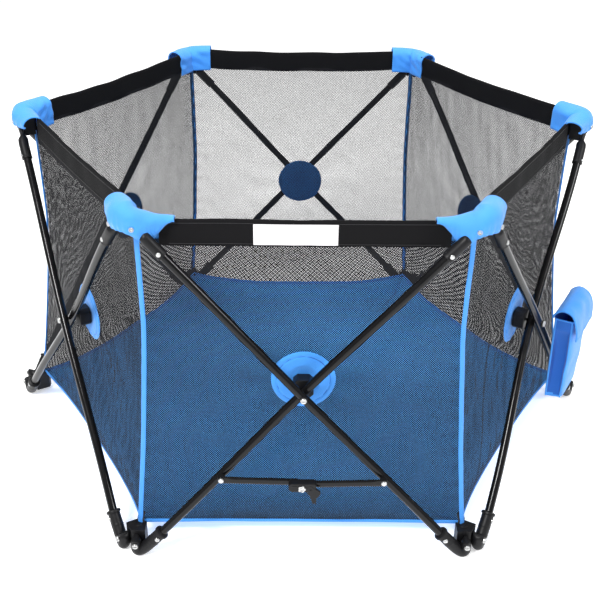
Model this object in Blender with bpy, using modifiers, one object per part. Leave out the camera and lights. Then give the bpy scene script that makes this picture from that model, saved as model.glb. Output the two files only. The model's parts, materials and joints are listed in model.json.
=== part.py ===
"""Six-sided folding playpen.

A ring of six scissor panels carries a hung net. Each panel is an X of two bent tubes that cross on a
screw. At its foot every tube ends in a moulded elbow that turns on a foot hub, and at its top in a
flattened lug that turns on a top hub inside the fabric corner cap. All the hubs stay upright while
the X closes, so the hexagon shrinks evenly and the top rises.

Metres, +Z up. The origin is the middle of the hexagon on the ground. The front panel faces -Y.
In a panel's own frame X runs along the panel, +Y points to the middle of the pen and Z is up, so the
front panel's frame is the world's, and panel k's is turned by k * 60 degrees about Z.
"""
import math

import bmesh
import bpy
from mathutils import Matrix, Vector

# ---- Driving dimensions -------------------------------------------------------------------------
SIDES = 6
TURN = 2.0 * math.pi / SIDES

FOOT_HALF = 0.305             # half the distance between the two foot pivots of a panel
CROSS_Z = 0.337               # height of the crossing screw
FOOT_Z = 0.029                # height of the foot pivots
TUBE_R = 0.008                # radius of a frame tube
ELBOW_R = 0.0115              # radius of the moulded elbow
KNEE_IN = 0.01084             # from a foot pivot in to the lowest point of the tube's line
FOOT_FLAT = 0.0012            # how much of its round underside is cut flat to stand on
COLLAR_WALL = 0.002           # how far the collar round the elbow's mouth stands out
COLLAR_LENGTH = 0.007
MOUTH_ALONG = 0.052           # from the foot pivot to the elbow's mouth, along the panel
SOCKET_DEPTH = 0.026          # how far the tube enters the elbow

PIVOT_R = 0.003               # pins of the foot and top hubs and the crossing screw
SCREW_HEAD_R = 0.0052
SCREW_HEAD_T = 0.0024
GAP = 0.0003                  # clearance between pieces that touch
PIN_ROOT = 0.004              # how deep a pin is rooted in its block
PIN_OVERLAP = 0.0006          # and how far it runs into its head
BORE_OVER = 0.020             # how far a cutter reaches past both sides of a bore

FOOT_TAIL = 0.0095            # radius of the elbow's end round its pivot
FOOT_HUB_REACH = 0.016        # foot hub, from its axis towards the panel's middle
FOOT_HUB_BACK = 0.020         # foot hub, from its axis towards the middle of the pen
FOOT_HUB_LOW = 0.006
FOOT_HUB_HIGH = 0.046

LUG_T = 0.008                 # thickness of the flattened top lug
LUG_R = 0.0065                # its radius round the pivot
SLEEVE_WALL = 0.002           # wall of the top socket round the tube
SLEEVE_LENGTH = 0.048
SLEEVE_SETBACK = 0.026        # from the top pivot to the end of the sleeve
TOP_NOSE = 0.0072             # how far the top hub stands out past the two lugs' corner
TOP_HUB_HALF_H = 0.018
TOP_HUB_REACH = 0.012
TOP_HUB_OPEN_GAP = 0.0048     # play on the side whose pivot closes the ring

TUBE_BOW = 0.0045             # how far the crossing pushes the outer tube out of its straight line
STACK_PLAY = 0.0005           # between the two tubes at the crossing
BLOCK_SIDE = 0.036            # spacer block behind the crossing
BLOCK_CHAMFER = 0.007
BLOCK_PLAY = 0.0016           # between the block and the leaning tube
BLOCK_DEPTH = 0.0234          # from the inner tube's side to the net

BRACE_ALONG = 0.215           # from the crossing to the brace's rivets, along the tubes
BRACE_SAG = 0.004             # how far the brace's middle lies under its end rivets
BRACE_H = 0.013
BRACE_T = 0.005
BRACE_BOSS_R = 0.0070
BRACE_PLAY = 0.0016           # between a link's boss and its tube
HOUSING_LENGTH = 0.048
HOUSING_H = 0.017
HOUSING_T = 0.011
LATCH_T = 0.005
LATCH_PIN_R = 0.0020
RIVET_R = 0.0025
RIVET_HOLE = 0.0065           # depth of a rivet's hole in its tube
RIVET_ROOT = 0.005            # how deep the rivet stands in it
BOSS_OVERLAP = 0.001          # how far a boss or a head runs into its link
RIVET_HEAD_R = 0.0048
RIVET_HEAD_T = 0.0017

NET_T = 0.003                 # plain thickness of the net, the cap and the floor
NET_OVER_PIVOT = 0.011        # how far the net's top edge stands over the top pivots
NET_HEM = 0.014               # lower edge of the net between the corners
NET_CORNER_HEM = 0.052        # lower edge of the net over the foot hubs
NET_PATCH = 0.120             # round patch of the net that lies flat against the crossing block
NET_REACH = 0.260             # and where its pull ends
SEAM_INSET_TOP = 0.005        # from a top pivot's corner in to the seam's top end
SEAM_INSET_FOOT = 0.014       # and from a foot pivot's corner in to its foot
SEAM_PLAY = 0.0016            # from a seam in to the edge of the net
SEAM_WAIST_DEPTH = 0.003      # how much narrower the seams stand at the waist than at the top
WAIST_SHARE = 0.70            # height of the waist as a share of the top pivots' height
CAP_WALL = 0.0025
CAP_HOLLOW = 0.021            # how far the cap's hollow runs in past its own inner edge
CAP_SLACK = 0.0042            # from the top sockets out to the cap's outer face
CAP_LENGTH = 0.062            # wing of the cap along each panel
CAP_BELOW = 0.020             # cap's lower edge under the top pivots
CAP_ABOVE = 0.045             # and its top over them

FLOOR_INSET = 0.028           # from the foot hubs' axis line in to the floor's edge
FLOOR_LOW = 0.0035

POUCH_PANEL = 1
POUCH_X0 = 0.018
POUCH_WIDTH = 0.108
POUCH_LOW = 0.166
POUCH_HIGH = 0.344
POUCH_CLEAR = 0.0035          # from the elbows' axis plane out to the pouch's back
POUCH_DEPTH = 0.044
POUCH_TAPER = 0.006
POUCH_WALL = 0.0025
FLAP_OVERHANG = 0.007         # flap past the pouch's sides and front
FLAP_RISE = 0.040
FLAP_DROP = 0.030
FLAP_CLEAR = 0.0018           # from the pouch's rim up to the flap's hinge line

PANELS = ["front", "front_right", "rear_right", "rear", "rear_left", "front_left"]
CORNERS = ["front_left", "front_right", "right", "rear_right", "rear_left", "left"]

COLLECTION = "playpen"
CUTTERS = "playpen_cutters"

# ---- Derived dimensions -------------------------------------------------------------------------
COLLAR_R = ELBOW_R + COLLAR_WALL
SLEEVE_R = TUBE_R + SLEEVE_WALL
TUBE_STACK = 2.0 * TUBE_R + STACK_PLAY                # between the two tubes' axes at the crossing
KNEE_Z = ELBOW_R - FOOT_FLAT
TUBE_ANGLE = math.atan2(CROSS_Z - KNEE_Z, FOOT_HALF - KNEE_IN)
SLOPE = math.tan(TUBE_ANGLE)
TOP_Z = 2.0 * CROSS_Z - FOOT_Z
TOP_HALF = (TOP_Z - CROSS_Z) / SLOPE

FOOT_AXIS = 2.0 * FOOT_HALF * math.cos(TURN / 2)      # foot hub axis, along the panel's normal
TOP_AXIS = 2.0 * TOP_HALF * math.cos(TURN / 2)
FOOT_FACE = (FOOT_HALF + FOOT_TAIL) / math.tan(TURN / 2)
TOP_FACE = (TOP_HALF + LUG_R + TOP_NOSE) / math.tan(TURN / 2)
TUBE_FOOT = FOOT_FACE + GAP + ELBOW_R                 # elbow's axis plane
TUBE_TOP = TOP_FACE + GAP + LUG_T / 2                 # top lug's middle plane
FOOT_REACH = (FOOT_HALF - MOUTH_ALONG) / math.cos(TUBE_ANGLE)
TOP_REACH = math.hypot(TOP_HALF, TOP_Z - CROSS_Z)
BOW_REACH = 0.9 * FOOT_REACH                          # the bow dies out short of the sockets
TUBE_STRAIGHT = TUBE_FOOT + (TUBE_TOP - TUBE_FOOT) * FOOT_REACH / (TOP_REACH + FOOT_REACH)
TUBE_CROSS = TUBE_STRAIGHT + TUBE_BOW
BLOCK_FRONT = TUBE_CROSS - TUBE_STACK - TUBE_R - BLOCK_PLAY
NET_CENTRE = BLOCK_FRONT - BLOCK_DEPTH
BLOCK_BACK = NET_CENTRE + GAP

NET_TOP = TOP_Z + NET_OVER_PIVOT
WAIST_Z = WAIST_SHARE * TOP_Z
SEAM_TOP = 2.0 * TOP_HALF - SEAM_INSET_TOP
SEAM_WAIST = SEAM_TOP - SEAM_WAIST_DEPTH
SEAM_FOOT = 2.0 * FOOT_HALF - SEAM_INSET_FOOT
SEAM_LIMIT = SEAM_FOOT - 0.006
CAP_OUT = TUBE_TOP + SLEEVE_R + CAP_SLACK
CAP_LOW = TOP_Z - CAP_BELOW
CAP_HIGH = TOP_Z + CAP_ABOVE
CAP_IN_OWN = SEAM_TOP * math.cos(TURN / 2) + 0.0005   # the cap's inner edge meets its own net here
CAP_IN_NEXT = CAP_IN_OWN + 0.0035                     # and stays clear of the next panel's
FLOOR_OUT = FOOT_AXIS - FLOOR_INSET
POUCH_BACK = TUBE_FOOT + POUCH_CLEAR


# ---- Small modelling helpers --------------------------------------------------------------------
def clear_scene():
    for obj in list(bpy.data.objects):
        bpy.data.objects.remove(obj, do_unlink=True)


def collection(name):
    coll = bpy.data.collections.get(name) or bpy.data.collections.new(name)
    if name not in bpy.context.scene.collection.children:
        bpy.context.scene.collection.children.link(coll)
    return coll


def finish(name, colour, roughness, metallic=0.0):
    mat = bpy.data.materials.new(name)
    mat.use_nodes = True
    shader = mat.node_tree.nodes["Principled BSDF"]
    shader.inputs["Base Color"].default_value = (*colour, 1.0)
    shader.inputs["Roughness"].default_value = roughness
    shader.inputs["Metallic"].default_value = metallic
    mat.diffuse_color = (*colour, 1.0)
    return mat


def helper(name, mesh):
    """An object used only while a shape is made."""
    obj = bpy.data.objects.new(name, mesh)
    obj.hide_render = True
    obj.display_type = "WIRE"
    collection(CUTTERS).objects.link(obj)
    return obj


def evaluated_mesh(obj, weld=1e-6):
    """The object's mesh as the viewport shows it, with its own placement applied and doubles merged."""
    bpy.context.view_layer.update()
    graph = bpy.context.evaluated_depsgraph_get()
    mesh = bpy.data.meshes.new_from_object(obj.evaluated_get(graph))
    mesh.transform(obj.matrix_world)
    bm = bmesh.new()
    bm.from_mesh(mesh)
    bmesh.ops.remove_doubles(bm, verts=bm.verts, dist=weld)
    bmesh.ops.recalc_face_normals(bm, faces=bm.faces)
    bm.to_mesh(mesh)
    bm.free()
    return mesh


def rod(points, radius, resolution=2):
    """A solid rod along the points: a poly curve with a round bevel and filled caps."""
    curve = bpy.data.curves.new("rod", "CURVE")
    curve.dimensions = "3D"
    curve.bevel_depth = radius
    curve.bevel_resolution = resolution
    curve.use_fill_caps = True
    spline = curve.splines.new("POLY")
    spline.points.add(len(points) - 1)
    for point, place in zip(spline.points, points):
        point.co = (*place, 1.0)
    obj = helper("rod", curve)
    mesh = evaluated_mesh(obj)
    bpy.data.objects.remove(obj, do_unlink=True)
    return helper("rod", mesh)


def plate(outline, thickness):
    """A flat plate whose outline is given as (x, z), centred on y = 0."""
    curve = bpy.data.curves.new("plate", "CURVE")
    curve.dimensions = "2D"
    curve.fill_mode = "BOTH"
    curve.extrude = thickness / 2
    spline = curve.splines.new("POLY")
    spline.points.add(len(outline) - 1)
    for point, (x, z) in zip(spline.points, outline):
        point.co = (x, z, 0.0, 1.0)
    spline.use_cyclic_u = True
    obj = helper("plate", curve)
    obj.rotation_euler = (math.pi / 2, 0.0, 0.0)
    mesh = evaluated_mesh(obj)
    bpy.data.objects.remove(obj, do_unlink=True)
    return helper("plate", mesh)


def prism(outline, low, high):
    """An upright prism over an outline given as (x, y)."""
    obj = plate(outline, high - low)
    obj.data.transform(Matrix.Rotation(-math.pi / 2, 4, "X"))
    obj.data.transform(Matrix.Translation((0.0, 0.0, (low + high) / 2)))
    return obj


def cylinder(start, end, radius, sides=16):
    """A cylinder between two points."""
    start, end = Vector(start), Vector(end)
    axis = end - start
    bm = bmesh.new()
    bmesh.ops.create_cone(bm, cap_ends=True, segments=sides, radius1=radius, radius2=radius,
                          depth=axis.length)
    turn = axis.to_track_quat("Z", "Y").to_matrix().to_4x4()
    bm.transform(Matrix.Translation((start + end) / 2) @ turn)
    mesh = bpy.data.meshes.new("cylinder")
    bm.to_mesh(mesh)
    bm.free()
    return helper("cylinder", mesh)


def sphere(centre, radius):
    """A ball of 16 by 10 faces whose poles lie along y."""
    bm = bmesh.new()
    bmesh.ops.create_uvsphere(bm, u_segments=16, v_segments=10, radius=radius)
    bm.transform(Matrix.Translation(centre) @ Matrix.Rotation(math.pi / 2, 4, "X"))
    mesh = bpy.data.meshes.new("sphere")
    bm.to_mesh(mesh)
    bm.free()
    return helper("sphere", mesh)


def box(low, high):
    """A box between two corners."""
    low, high = Vector(low), Vector(high)
    bm = bmesh.new()
    bmesh.ops.create_cube(bm, size=1.0)
    size = high - low
    bm.transform(Matrix.Translation((low + high) / 2) @ Matrix.Diagonal((*size, 1.0)))
    mesh = bpy.data.meshes.new("box")
    bm.to_mesh(mesh)
    bm.free()
    return helper("box", mesh)


def combined(base, add=(), cut=()):
    """The base with pieces joined on and others cut away, as one mesh; the helpers are removed."""
    for other, operation in [(o, "UNION") for o in add] + [(o, "DIFFERENCE") for o in cut]:
        step = base.modifiers.new(operation.lower(), "BOOLEAN")
        step.operation = operation
        step.solver = "EXACT"
        step.object = other
    mesh = evaluated_mesh(base)
    for obj in [base, *add, *cut]:
        bpy.data.objects.remove(obj, do_unlink=True)
    return mesh


def mirrored(mesh):
    """A copy of the mesh mirrored in x, with its faces still pointing out."""
    copy = mesh.copy()
    copy.transform(Matrix.Scale(-1.0, 4, (1.0, 0.0, 0.0)))
    copy.flip_normals()
    return copy


def arc(cx, cy, radius, start, end, count=7):
    """Points on an arc, angles in degrees."""
    out = []
    for i in range(count):
        a = math.radians(start + (end - start) * i / (count - 1))
        out.append((cx + radius * math.cos(a), cy + radius * math.sin(a)))
    return out


def stadium(x0, z0, x1, z1, radius, count=7):
    """Outline of a bar with round ends between two centres."""
    a = math.degrees(math.atan2(z1 - z0, x1 - x0))
    return arc(x1, z1, radius, a - 90, a + 90, count) + arc(x0, z0, radius, a + 90, a + 270, count)


def bezier(p0, p1, p2, p3, count):
    """Points on a cubic Bezier curve, ends included."""
    out = []
    for i in range(count):
        t = i / (count - 1)
        s = 1.0 - t
        out.append(tuple(s ** 3 * a + 3 * s * s * t * b + 3 * s * t * t * c + t ** 3 * d
                         for a, b, c, d in zip(p0, p1, p2, p3)))
    return out


# ---- Places in the ring -------------------------------------------------------------------------
def panel_turn(k):
    return Matrix.Rotation(k * TURN, 4, "Z")


def corner_turn(j):
    """The frame of corner j: x outward along the corner's radius."""
    return Matrix.Rotation(-math.pi / 2 - TURN / 2 + j * TURN, 4, "Z")


def place(name, mesh, matrix, mat, pivot=None, parent=None, sharp=35.0):
    """A named part. Its origin is moved to the pivot, which is given in the mesh's own frame."""
    pivot = Vector(pivot or (0.0, 0.0, 0.0))
    mesh = mesh.copy()
    mesh.name = name
    mesh.transform(Matrix.Translation(-pivot))
    mesh.materials.clear()
    mesh.materials.append(mat)
    mesh.shade_smooth()
    mesh.set_sharp_from_angle(angle=math.radians(sharp))
    obj = bpy.data.objects.new(name, mesh)
    obj.matrix_world = matrix @ Matrix.Translation(pivot)
    collection(COLLECTION).objects.link(obj)
    if parent is not None:
        bpy.context.view_layer.update()
        obj.parent = parent
        obj.matrix_parent_inverse = parent.matrix_world.inverted()
    return obj


def joint_axis(name, matrix, pivot, parent=None):
    """An empty on a joint's axis, in the panel's frame: its y axis is the axis that the joint turns on."""
    obj = bpy.data.objects.new(name, None)
    obj.empty_display_size = 0.03
    obj.matrix_world = matrix @ Matrix.Translation(pivot)
    collection(COLLECTION).objects.link(obj)
    bpy.context.view_layer.update()
    if parent is not None:
        obj.parent = parent
        obj.matrix_parent_inverse = parent.matrix_world.inverted()
    return obj


# ---- Tubes --------------------------------------------------------------------------------------
def tube_depth(u, crossing):
    """Distance from the middle of the pen to a tube's axis, u metres up the tube from the crossing.

    A straight lean from the foot plane to the top plane, with a bow that is full at the crossing and
    gone at BOW_REACH, so that the ends run straight into their sockets.
    """
    lean = TUBE_STRAIGHT + (TUBE_TOP - TUBE_FOOT) * u / (TOP_REACH + FOOT_REACH)
    fade = 0.5 + 0.5 * math.cos(math.pi * min(1.0, abs(u) / BOW_REACH))
    return lean + (crossing - TUBE_STRAIGHT) * fade


def tube_point(u, crossing):
    """A point on an inner tube: foot on the left, top on the right."""
    return (u * math.cos(TUBE_ANGLE), -tube_depth(u, crossing), CROSS_Z + u * math.sin(TUBE_ANGLE))


def steps(start, end, count):
    return [start + (end - start) * i / (count - 1) for i in range(count)]


def tube_mesh(crossing, brace_hole=False):
    """A bent tube with its top socket and flattened lug, as an inner tube stands in its panel."""
    foot_end = -(FOOT_REACH + SOCKET_DEPTH)
    top_end = TOP_REACH - SLEEVE_SETBACK
    body = rod([tube_point(u, crossing) for u in steps(foot_end, top_end, 13)], TUBE_R)
    sleeve = rod([tube_point(u, crossing)
                  for u in (top_end - SLEEVE_LENGTH, top_end - SLEEVE_LENGTH / 2, top_end)], SLEEVE_R)
    back = TOP_REACH - SLEEVE_SETBACK - 0.008
    lug = plate(stadium(back * math.cos(TUBE_ANGLE), back * math.sin(TUBE_ANGLE),
                        TOP_HALF, TOP_Z - CROSS_Z, LUG_R), LUG_T)
    lug.data.transform(Matrix.Translation((0.0, -TUBE_TOP, CROSS_Z)))
    cuts = [
        cylinder((0, -crossing - BORE_OVER, CROSS_Z), (0, -crossing + BORE_OVER, CROSS_Z),
                 PIVOT_R + GAP, 12),
        cylinder((TOP_HALF, -TUBE_TOP - BORE_OVER, TOP_Z),
                 (TOP_HALF, -TUBE_TOP + BORE_OVER, TOP_Z), PIVOT_R + GAP, 12),
    ]
    if brace_hole:
        x, _, z = tube_point(-BRACE_ALONG, crossing)
        front = tube_depth(-BRACE_ALONG, crossing) + TUBE_R
        cuts.append(cylinder((x, -front - 0.01, z), (x, -front + RIVET_HOLE, z), RIVET_R + GAP, 12))
    return combined(body, [sleeve, lug], cuts)


def elbow_mesh():
    """A moulded elbow for an inner tube.

    It has a pivot end, a short arm down to the round foot, and the straight socket with its collared
    mouth. Its underside is cut flat on the ground, and the socket is bored for the tube.
    """
    knee = (-(FOOT_HALF - KNEE_IN), -TUBE_FOOT, KNEE_Z)
    pivot = (-FOOT_HALF, -TUBE_FOOT, FOOT_Z)
    mouth = -FOOT_REACH
    body = rod([knee, tube_point(mouth, TUBE_CROSS)], ELBOW_R, 3)
    ball = sphere(knee, ELBOW_R * 1.001)
    arm = rod([knee, pivot], FOOT_TAIL, 3)
    end = cylinder((pivot[0], pivot[1] - ELBOW_R, pivot[2]), (pivot[0], pivot[1] + ELBOW_R, pivot[2]),
                   FOOT_TAIL, 20)
    collar = rod([tube_point(mouth - COLLAR_LENGTH, TUBE_CROSS), tube_point(mouth, TUBE_CROSS)],
                 COLLAR_R, 3)
    bore_r = (TUBE_R + GAP) / math.cos(math.pi / 12)
    bore = rod([tube_point(u, TUBE_CROSS)
                for u in (mouth - SOCKET_DEPTH - GAP, mouth - SOCKET_DEPTH / 2, mouth + 0.006)], bore_r, 4)
    hole = cylinder((pivot[0], pivot[1] - BORE_OVER, pivot[2]),
                    (pivot[0], pivot[1] + BORE_OVER, pivot[2]), PIVOT_R + GAP, 12)
    ground = box((-FOOT_HALF - 0.1, -FOOT_FACE - 0.1, -0.05), (-FOOT_HALF + 0.1, -FOOT_FACE + 0.1, 0.0))
    return combined(body, [ball, arm, end, collar], [bore, hole, ground])


# ---- Hubs and crossing blocks -------------------------------------------------------------------
def hub_outline(face_a, face_b, tail, reach, back):
    """Plan of a corner hub in its corner's frame, from its axis.

    The outer faces lie face_a and face_b from the axis, square to the two panels. The block runs
    tail past the axis towards the corner's edge and reach towards each panel's middle.
    """
    na = Vector((math.cos(TURN / 2), -math.sin(TURN / 2)))
    nb = Vector((math.cos(TURN / 2), math.sin(TURN / 2)))
    ta = Vector((-na.y, na.x))
    tb = Vector((nb.y, -nb.x))
    # the two faces meet where the point is face_a along na and face_b along nb
    det = na.x * nb.y - na.y * nb.x
    tip = Vector(((face_a * nb.y - face_b * na.y) / det, (face_b * na.x - face_a * nb.x) / det))
    a0 = na * face_a + ta * min(tail, tip.dot(ta))
    b0 = nb * face_b + tb * min(tail, tip.dot(tb))
    a1 = na * face_a - ta * reach
    b1 = nb * face_b - tb * reach
    a2 = -na * back * 0.3 - ta * reach
    b2 = -nb * back * 0.3 - tb * reach
    inner_a = Vector((-back, a2.y * 0.55))
    inner_b = Vector((-back, b2.y * 0.55))
    points = [a0, b0, b1, b2, inner_b, inner_a, a2, a1]
    return [(p.x, p.y) for p in points]


def pin(side, height, start, length, head=True):
    """A pivot pin that stands out of a hub towards one of its two panels (side -1 or 1)."""
    n = Vector((math.cos(TURN / 2), side * math.sin(TURN / 2), 0.0))
    up = Vector((0.0, 0.0, height))
    pieces = [cylinder(n * start + up, n * (start + length + PIN_OVERLAP) + up, PIVOT_R, 12)]
    if head:
        under = start + length
        pieces.append(cylinder(n * under + up, n * (under + SCREW_HEAD_T) + up, SCREW_HEAD_R, 16))
    return pieces


def foot_hub_mesh():
    """Foot hub with the two pivot screws of its elbows, from its own axis."""
    face = FOOT_FACE - FOOT_AXIS
    outline = hub_outline(face, face, FOOT_TAIL, FOOT_HUB_REACH, FOOT_HUB_BACK)
    block = prism(outline, FOOT_HUB_LOW, FOOT_HUB_HIGH)
    bevel = block.modifiers.new("bevel", "BEVEL")
    bevel.width = 0.0018
    bevel.segments = 2
    bevel.limit_method = "ANGLE"
    length = 2 * ELBOW_R + 2 * GAP + PIN_ROOT
    pins = pin(-1, FOOT_Z, face - PIN_ROOT, length) + pin(1, FOOT_Z, face - PIN_ROOT, length)
    return combined(block, pins)


def top_hub_mesh(driven):
    """Top hub from its own axis. It turns on one tube's lug (side driven) and clears the other's."""
    face = TOP_FACE - TOP_AXIS
    faces = {driven: face, -driven: face - TOP_HUB_OPEN_GAP}
    outline = hub_outline(faces[-1], faces[1], LUG_R, TOP_HUB_REACH, 0.001)
    block = prism(outline, TOP_Z - TOP_HUB_HALF_H, TOP_Z + TOP_HUB_HALF_H)
    length = LUG_T + 2 * GAP + PIN_ROOT
    return combined(block, pin(driven, TOP_Z, face - PIN_ROOT, length, head=False))


def crossing_block_mesh():
    """Spacer block behind the crossing, with the screw that holds both tubes."""
    front = BLOCK_FRONT
    half = BLOCK_SIDE / 2
    cut = BLOCK_CHAMFER
    outline = [(half, half - cut), (half - cut, half), (-half + cut, half), (-half, half - cut),
               (-half, -half + cut), (-half + cut, -half), (half - cut, -half), (half, -half + cut)]
    block = plate(outline, front - BLOCK_BACK)
    block.data.transform(Matrix.Translation((0.0, -(front + BLOCK_BACK) / 2, CROSS_Z)))
    bevel = block.modifiers.new("bevel", "BEVEL")
    bevel.width = 0.0015
    bevel.segments = 2
    bevel.limit_method = "ANGLE"
    out = TUBE_CROSS + TUBE_R + GAP
    screw = cylinder((0, -front + PIN_ROOT, CROSS_Z), (0, -out - PIN_OVERLAP, CROSS_Z), PIVOT_R, 12)
    head = cylinder((0, -out, CROSS_Z), (0, -out - SCREW_HEAD_T, CROSS_Z), SCREW_HEAD_R, 16)
    return combined(block, [screw, head])


# ---- Brace of the front panel -------------------------------------------------------------------
def brace_places():
    """End rivets and middle rivet of the brace as (x, z), and the planes of its two layers."""
    x = BRACE_ALONG * math.cos(TUBE_ANGLE)
    z = CROSS_Z - BRACE_ALONG * math.sin(TUBE_ANGLE)
    rear = max(tube_depth(-u, TUBE_CROSS) for u in steps(0.05, BRACE_ALONG, 8)) + TUBE_R + BRACE_PLAY
    return (-x, z), (x, z), (0.0, z - BRACE_SAG), rear


def link_mesh(end, middle, rear, boss_to, overrun):
    """A flat brace link with a standoff boss and a rivet into the tube at its end."""
    outline = stadium(end[0], end[1], middle[0] + overrun, middle[1], BRACE_H / 2)
    bar = plate(outline, BRACE_T)
    bar.data.transform(Matrix.Translation((0.0, -(rear + BRACE_T / 2), 0.0)))
    boss = cylinder((end[0], -boss_to, end[1]), (end[0], -(rear + BOSS_OVERLAP), end[1]),
                    BRACE_BOSS_R, 16)
    rivet = cylinder((end[0], -boss_to + RIVET_ROOT, end[1]), (end[0], -boss_to - 2 * BOSS_OVERLAP, end[1]),
                     RIVET_R, 12)
    head = cylinder((end[0], -(rear + BRACE_T - BOSS_OVERLAP), end[1]),
                    (end[0], -(rear + BRACE_T + RIVET_HEAD_T), end[1]), RIVET_HEAD_R, 16)
    return bar, [boss, rivet, head]


def brace_left_mesh():
    left, _, middle, rear = brace_places()
    boss_to = tube_depth(-BRACE_ALONG, TUBE_CROSS - TUBE_STACK) + TUBE_R + BRACE_PLAY
    bar, extra = link_mesh(left, middle, rear, boss_to, 0.010)
    return combined(bar, extra)


def brace_right_mesh():
    """The right link in the front layer, with the hinge housing over the middle rivet."""
    _, right, middle, rear = brace_places()
    rear = rear + BRACE_T + 2 * GAP
    boss_to = tube_depth(-BRACE_ALONG, TUBE_CROSS) + TUBE_R + BRACE_PLAY
    bar, extra = link_mesh(right, middle, rear, boss_to, -0.010)
    half = HOUSING_LENGTH / 2
    low = middle[1] - HOUSING_H / 2
    high = middle[1] + HOUSING_H / 2
    cut = 0.005
    outline = [(-half, low + cut), (-half + cut, low), (half - cut, low), (half, low + cut),
               (half, high - cut), (half - cut, high), (-half + cut, high), (-half, high - cut)]
    housing = plate(outline, HOUSING_T)
    housing.data.transform(Matrix.Translation((0.0, -(rear + HOUSING_T / 2), 0.0)))
    rivet = cylinder((0, -(rear + HOUSING_T - BOSS_OVERLAP), middle[1]),
                     (0, -(rear + HOUSING_T + RIVET_HEAD_T), middle[1]), RIVET_HEAD_R, 16)
    x, y, z = latch_pivot()
    pin_end = y - LATCH_T / 2 - GAP
    latch_pin = cylinder((x, y + LATCH_T / 2 + 2 * BOSS_OVERLAP, z),
                         (x, pin_end - PIN_OVERLAP, z), LATCH_PIN_R, 12)
    latch_head = cylinder((x, pin_end, z), (x, pin_end - RIVET_HEAD_T, z), 1.7 * LATCH_PIN_R, 12)
    return combined(housing, [bar, *extra, rivet, latch_pin, latch_head])


def latch_pivot():
    _, _, middle, rear = brace_places()
    front = rear + BRACE_T + 2 * GAP + HOUSING_T
    return (0.0145, -(front + GAP + LATCH_T / 2), middle[1] - 0.001)


def latch_mesh():
    """The hooked thumb lever in front of the housing."""
    x, y, z = latch_pivot()
    outline = arc(x, z, 0.006, 20, 180, 7)
    outline += [(x - 0.006, z - 0.010), (x - 0.001, z - 0.016), (x + 0.0035, z - 0.0325),
                (x + 0.0095, z - 0.0325), (x + 0.0105, z - 0.020), (x + 0.017, z - 0.012),
                (x + 0.017, z - 0.006)]
    lever = plate(outline, LATCH_T)
    lever.data.transform(Matrix.Translation((0.0, y, 0.0)))
    bevel = lever.modifiers.new("bevel", "BEVEL")
    bevel.width = 0.0008
    bevel.segments = 1
    bevel.limit_method = "ANGLE"
    hole = cylinder((x, y - LATCH_T, z), (x, y + LATCH_T, z), LATCH_PIN_R + GAP, 12)
    return combined(lever, (), [hole])


# ---- Fabric -------------------------------------------------------------------------------------
def seam_radius(z):
    """Distance of a corner seam from the middle of the pen at height z: a waisted curve."""
    if z > WAIST_Z:
        t = (z - WAIST_Z) / (NET_TOP - WAIST_Z)
        return SEAM_WAIST + (SEAM_TOP - SEAM_WAIST) * t * t
    t = (WAIST_Z - z) / (WAIST_Z - NET_CORNER_HEM)
    return SEAM_WAIST + (SEAM_FOOT - SEAM_WAIST) * t ** 1.6


def net_depth(x, z):
    """Distance from the middle of the pen to the net's middle surface.

    Flat between the seams, and drawn out to the crossing block over a round patch.
    """
    flat = min(seam_radius(z), SEAM_LIMIT) * math.cos(TURN / 2)
    away = (math.hypot(x, z - CROSS_Z) - NET_PATCH) / (NET_REACH - NET_PATCH)
    away = min(1.0, max(0.0, away))
    pull = 1.0 - away * away * (3.0 - 2.0 * away)
    return flat + (NET_CENTRE - NET_T / 2 - flat) * pull


def net_sheet(columns=9, rows=9):
    """The hung net of one panel as a thin solid."""
    bm = bmesh.new()
    bmesh.ops.create_grid(bm, x_segments=columns - 1, y_segments=rows - 1, size=1.0)
    for vert in bm.verts:
        s, t = vert.co.x, 0.5 + 0.5 * vert.co.y
        hem = NET_HEM + (NET_CORNER_HEM - NET_HEM) * max(0.0, (abs(s) - 0.6) / 0.4) ** 1.5
        z = hem + (NET_TOP - hem) * t
        x = s * (min(seam_radius(z), SEAM_LIMIT) / 2 - SEAM_PLAY)
        vert.co = (x, -net_depth(x, z), z)
    mesh = bpy.data.meshes.new("net")
    bm.to_mesh(mesh)
    bm.free()
    obj = helper("net", mesh)
    shell = obj.modifiers.new("thickness", "SOLIDIFY")
    shell.thickness = NET_T
    shell.offset = 0.0
    return obj


def cap_hood():
    """The corner cap as a hood over the top hub, in the frame of the panel on its right.

    It is open below for the tubes, and open towards the middle of the pen, where the net closes it.
    """
    def chevron(out, inner_own, inner_next, length):
        """Plan between an outer and an inner V round the corner, for both panels that meet there."""
        turn = Matrix.Rotation(-TURN, 2)
        edge = math.tan(TURN / 2)
        tip_out = Vector((-out * edge, -out))
        own_end = Vector((-CAP_OUT * edge + length, -out))
        own_in = Vector((own_end.x, -inner_own))
        next_end = turn @ Vector((CAP_OUT * edge - length, -out))
        next_in = turn @ Vector((CAP_OUT * edge - length, -inner_next))
        low = min(inner_own, inner_next)
        tip_in = Vector((-low * edge, -low))
        return [tuple(p) for p in (tip_out, own_end, own_in, tip_in, next_in, next_end)]

    deep = CAP_IN_OWN - CAP_HOLLOW
    outer = prism(chevron(CAP_OUT, CAP_IN_OWN, CAP_IN_NEXT, CAP_LENGTH), CAP_LOW, CAP_HIGH)
    inner = prism(chevron(CAP_OUT - CAP_WALL, deep, deep, CAP_LENGTH - CAP_WALL), CAP_LOW - 0.01,
                  CAP_HIGH - CAP_WALL)
    return outer, inner


def net_mesh():
    """One panel's net with the corner cap at its left end."""
    outer, inner = cap_hood()
    hood = helper("hood", combined(outer, (), [inner]))
    sheet = helper("sheet", combined(net_sheet()))
    return combined(sheet, [hood])


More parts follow.
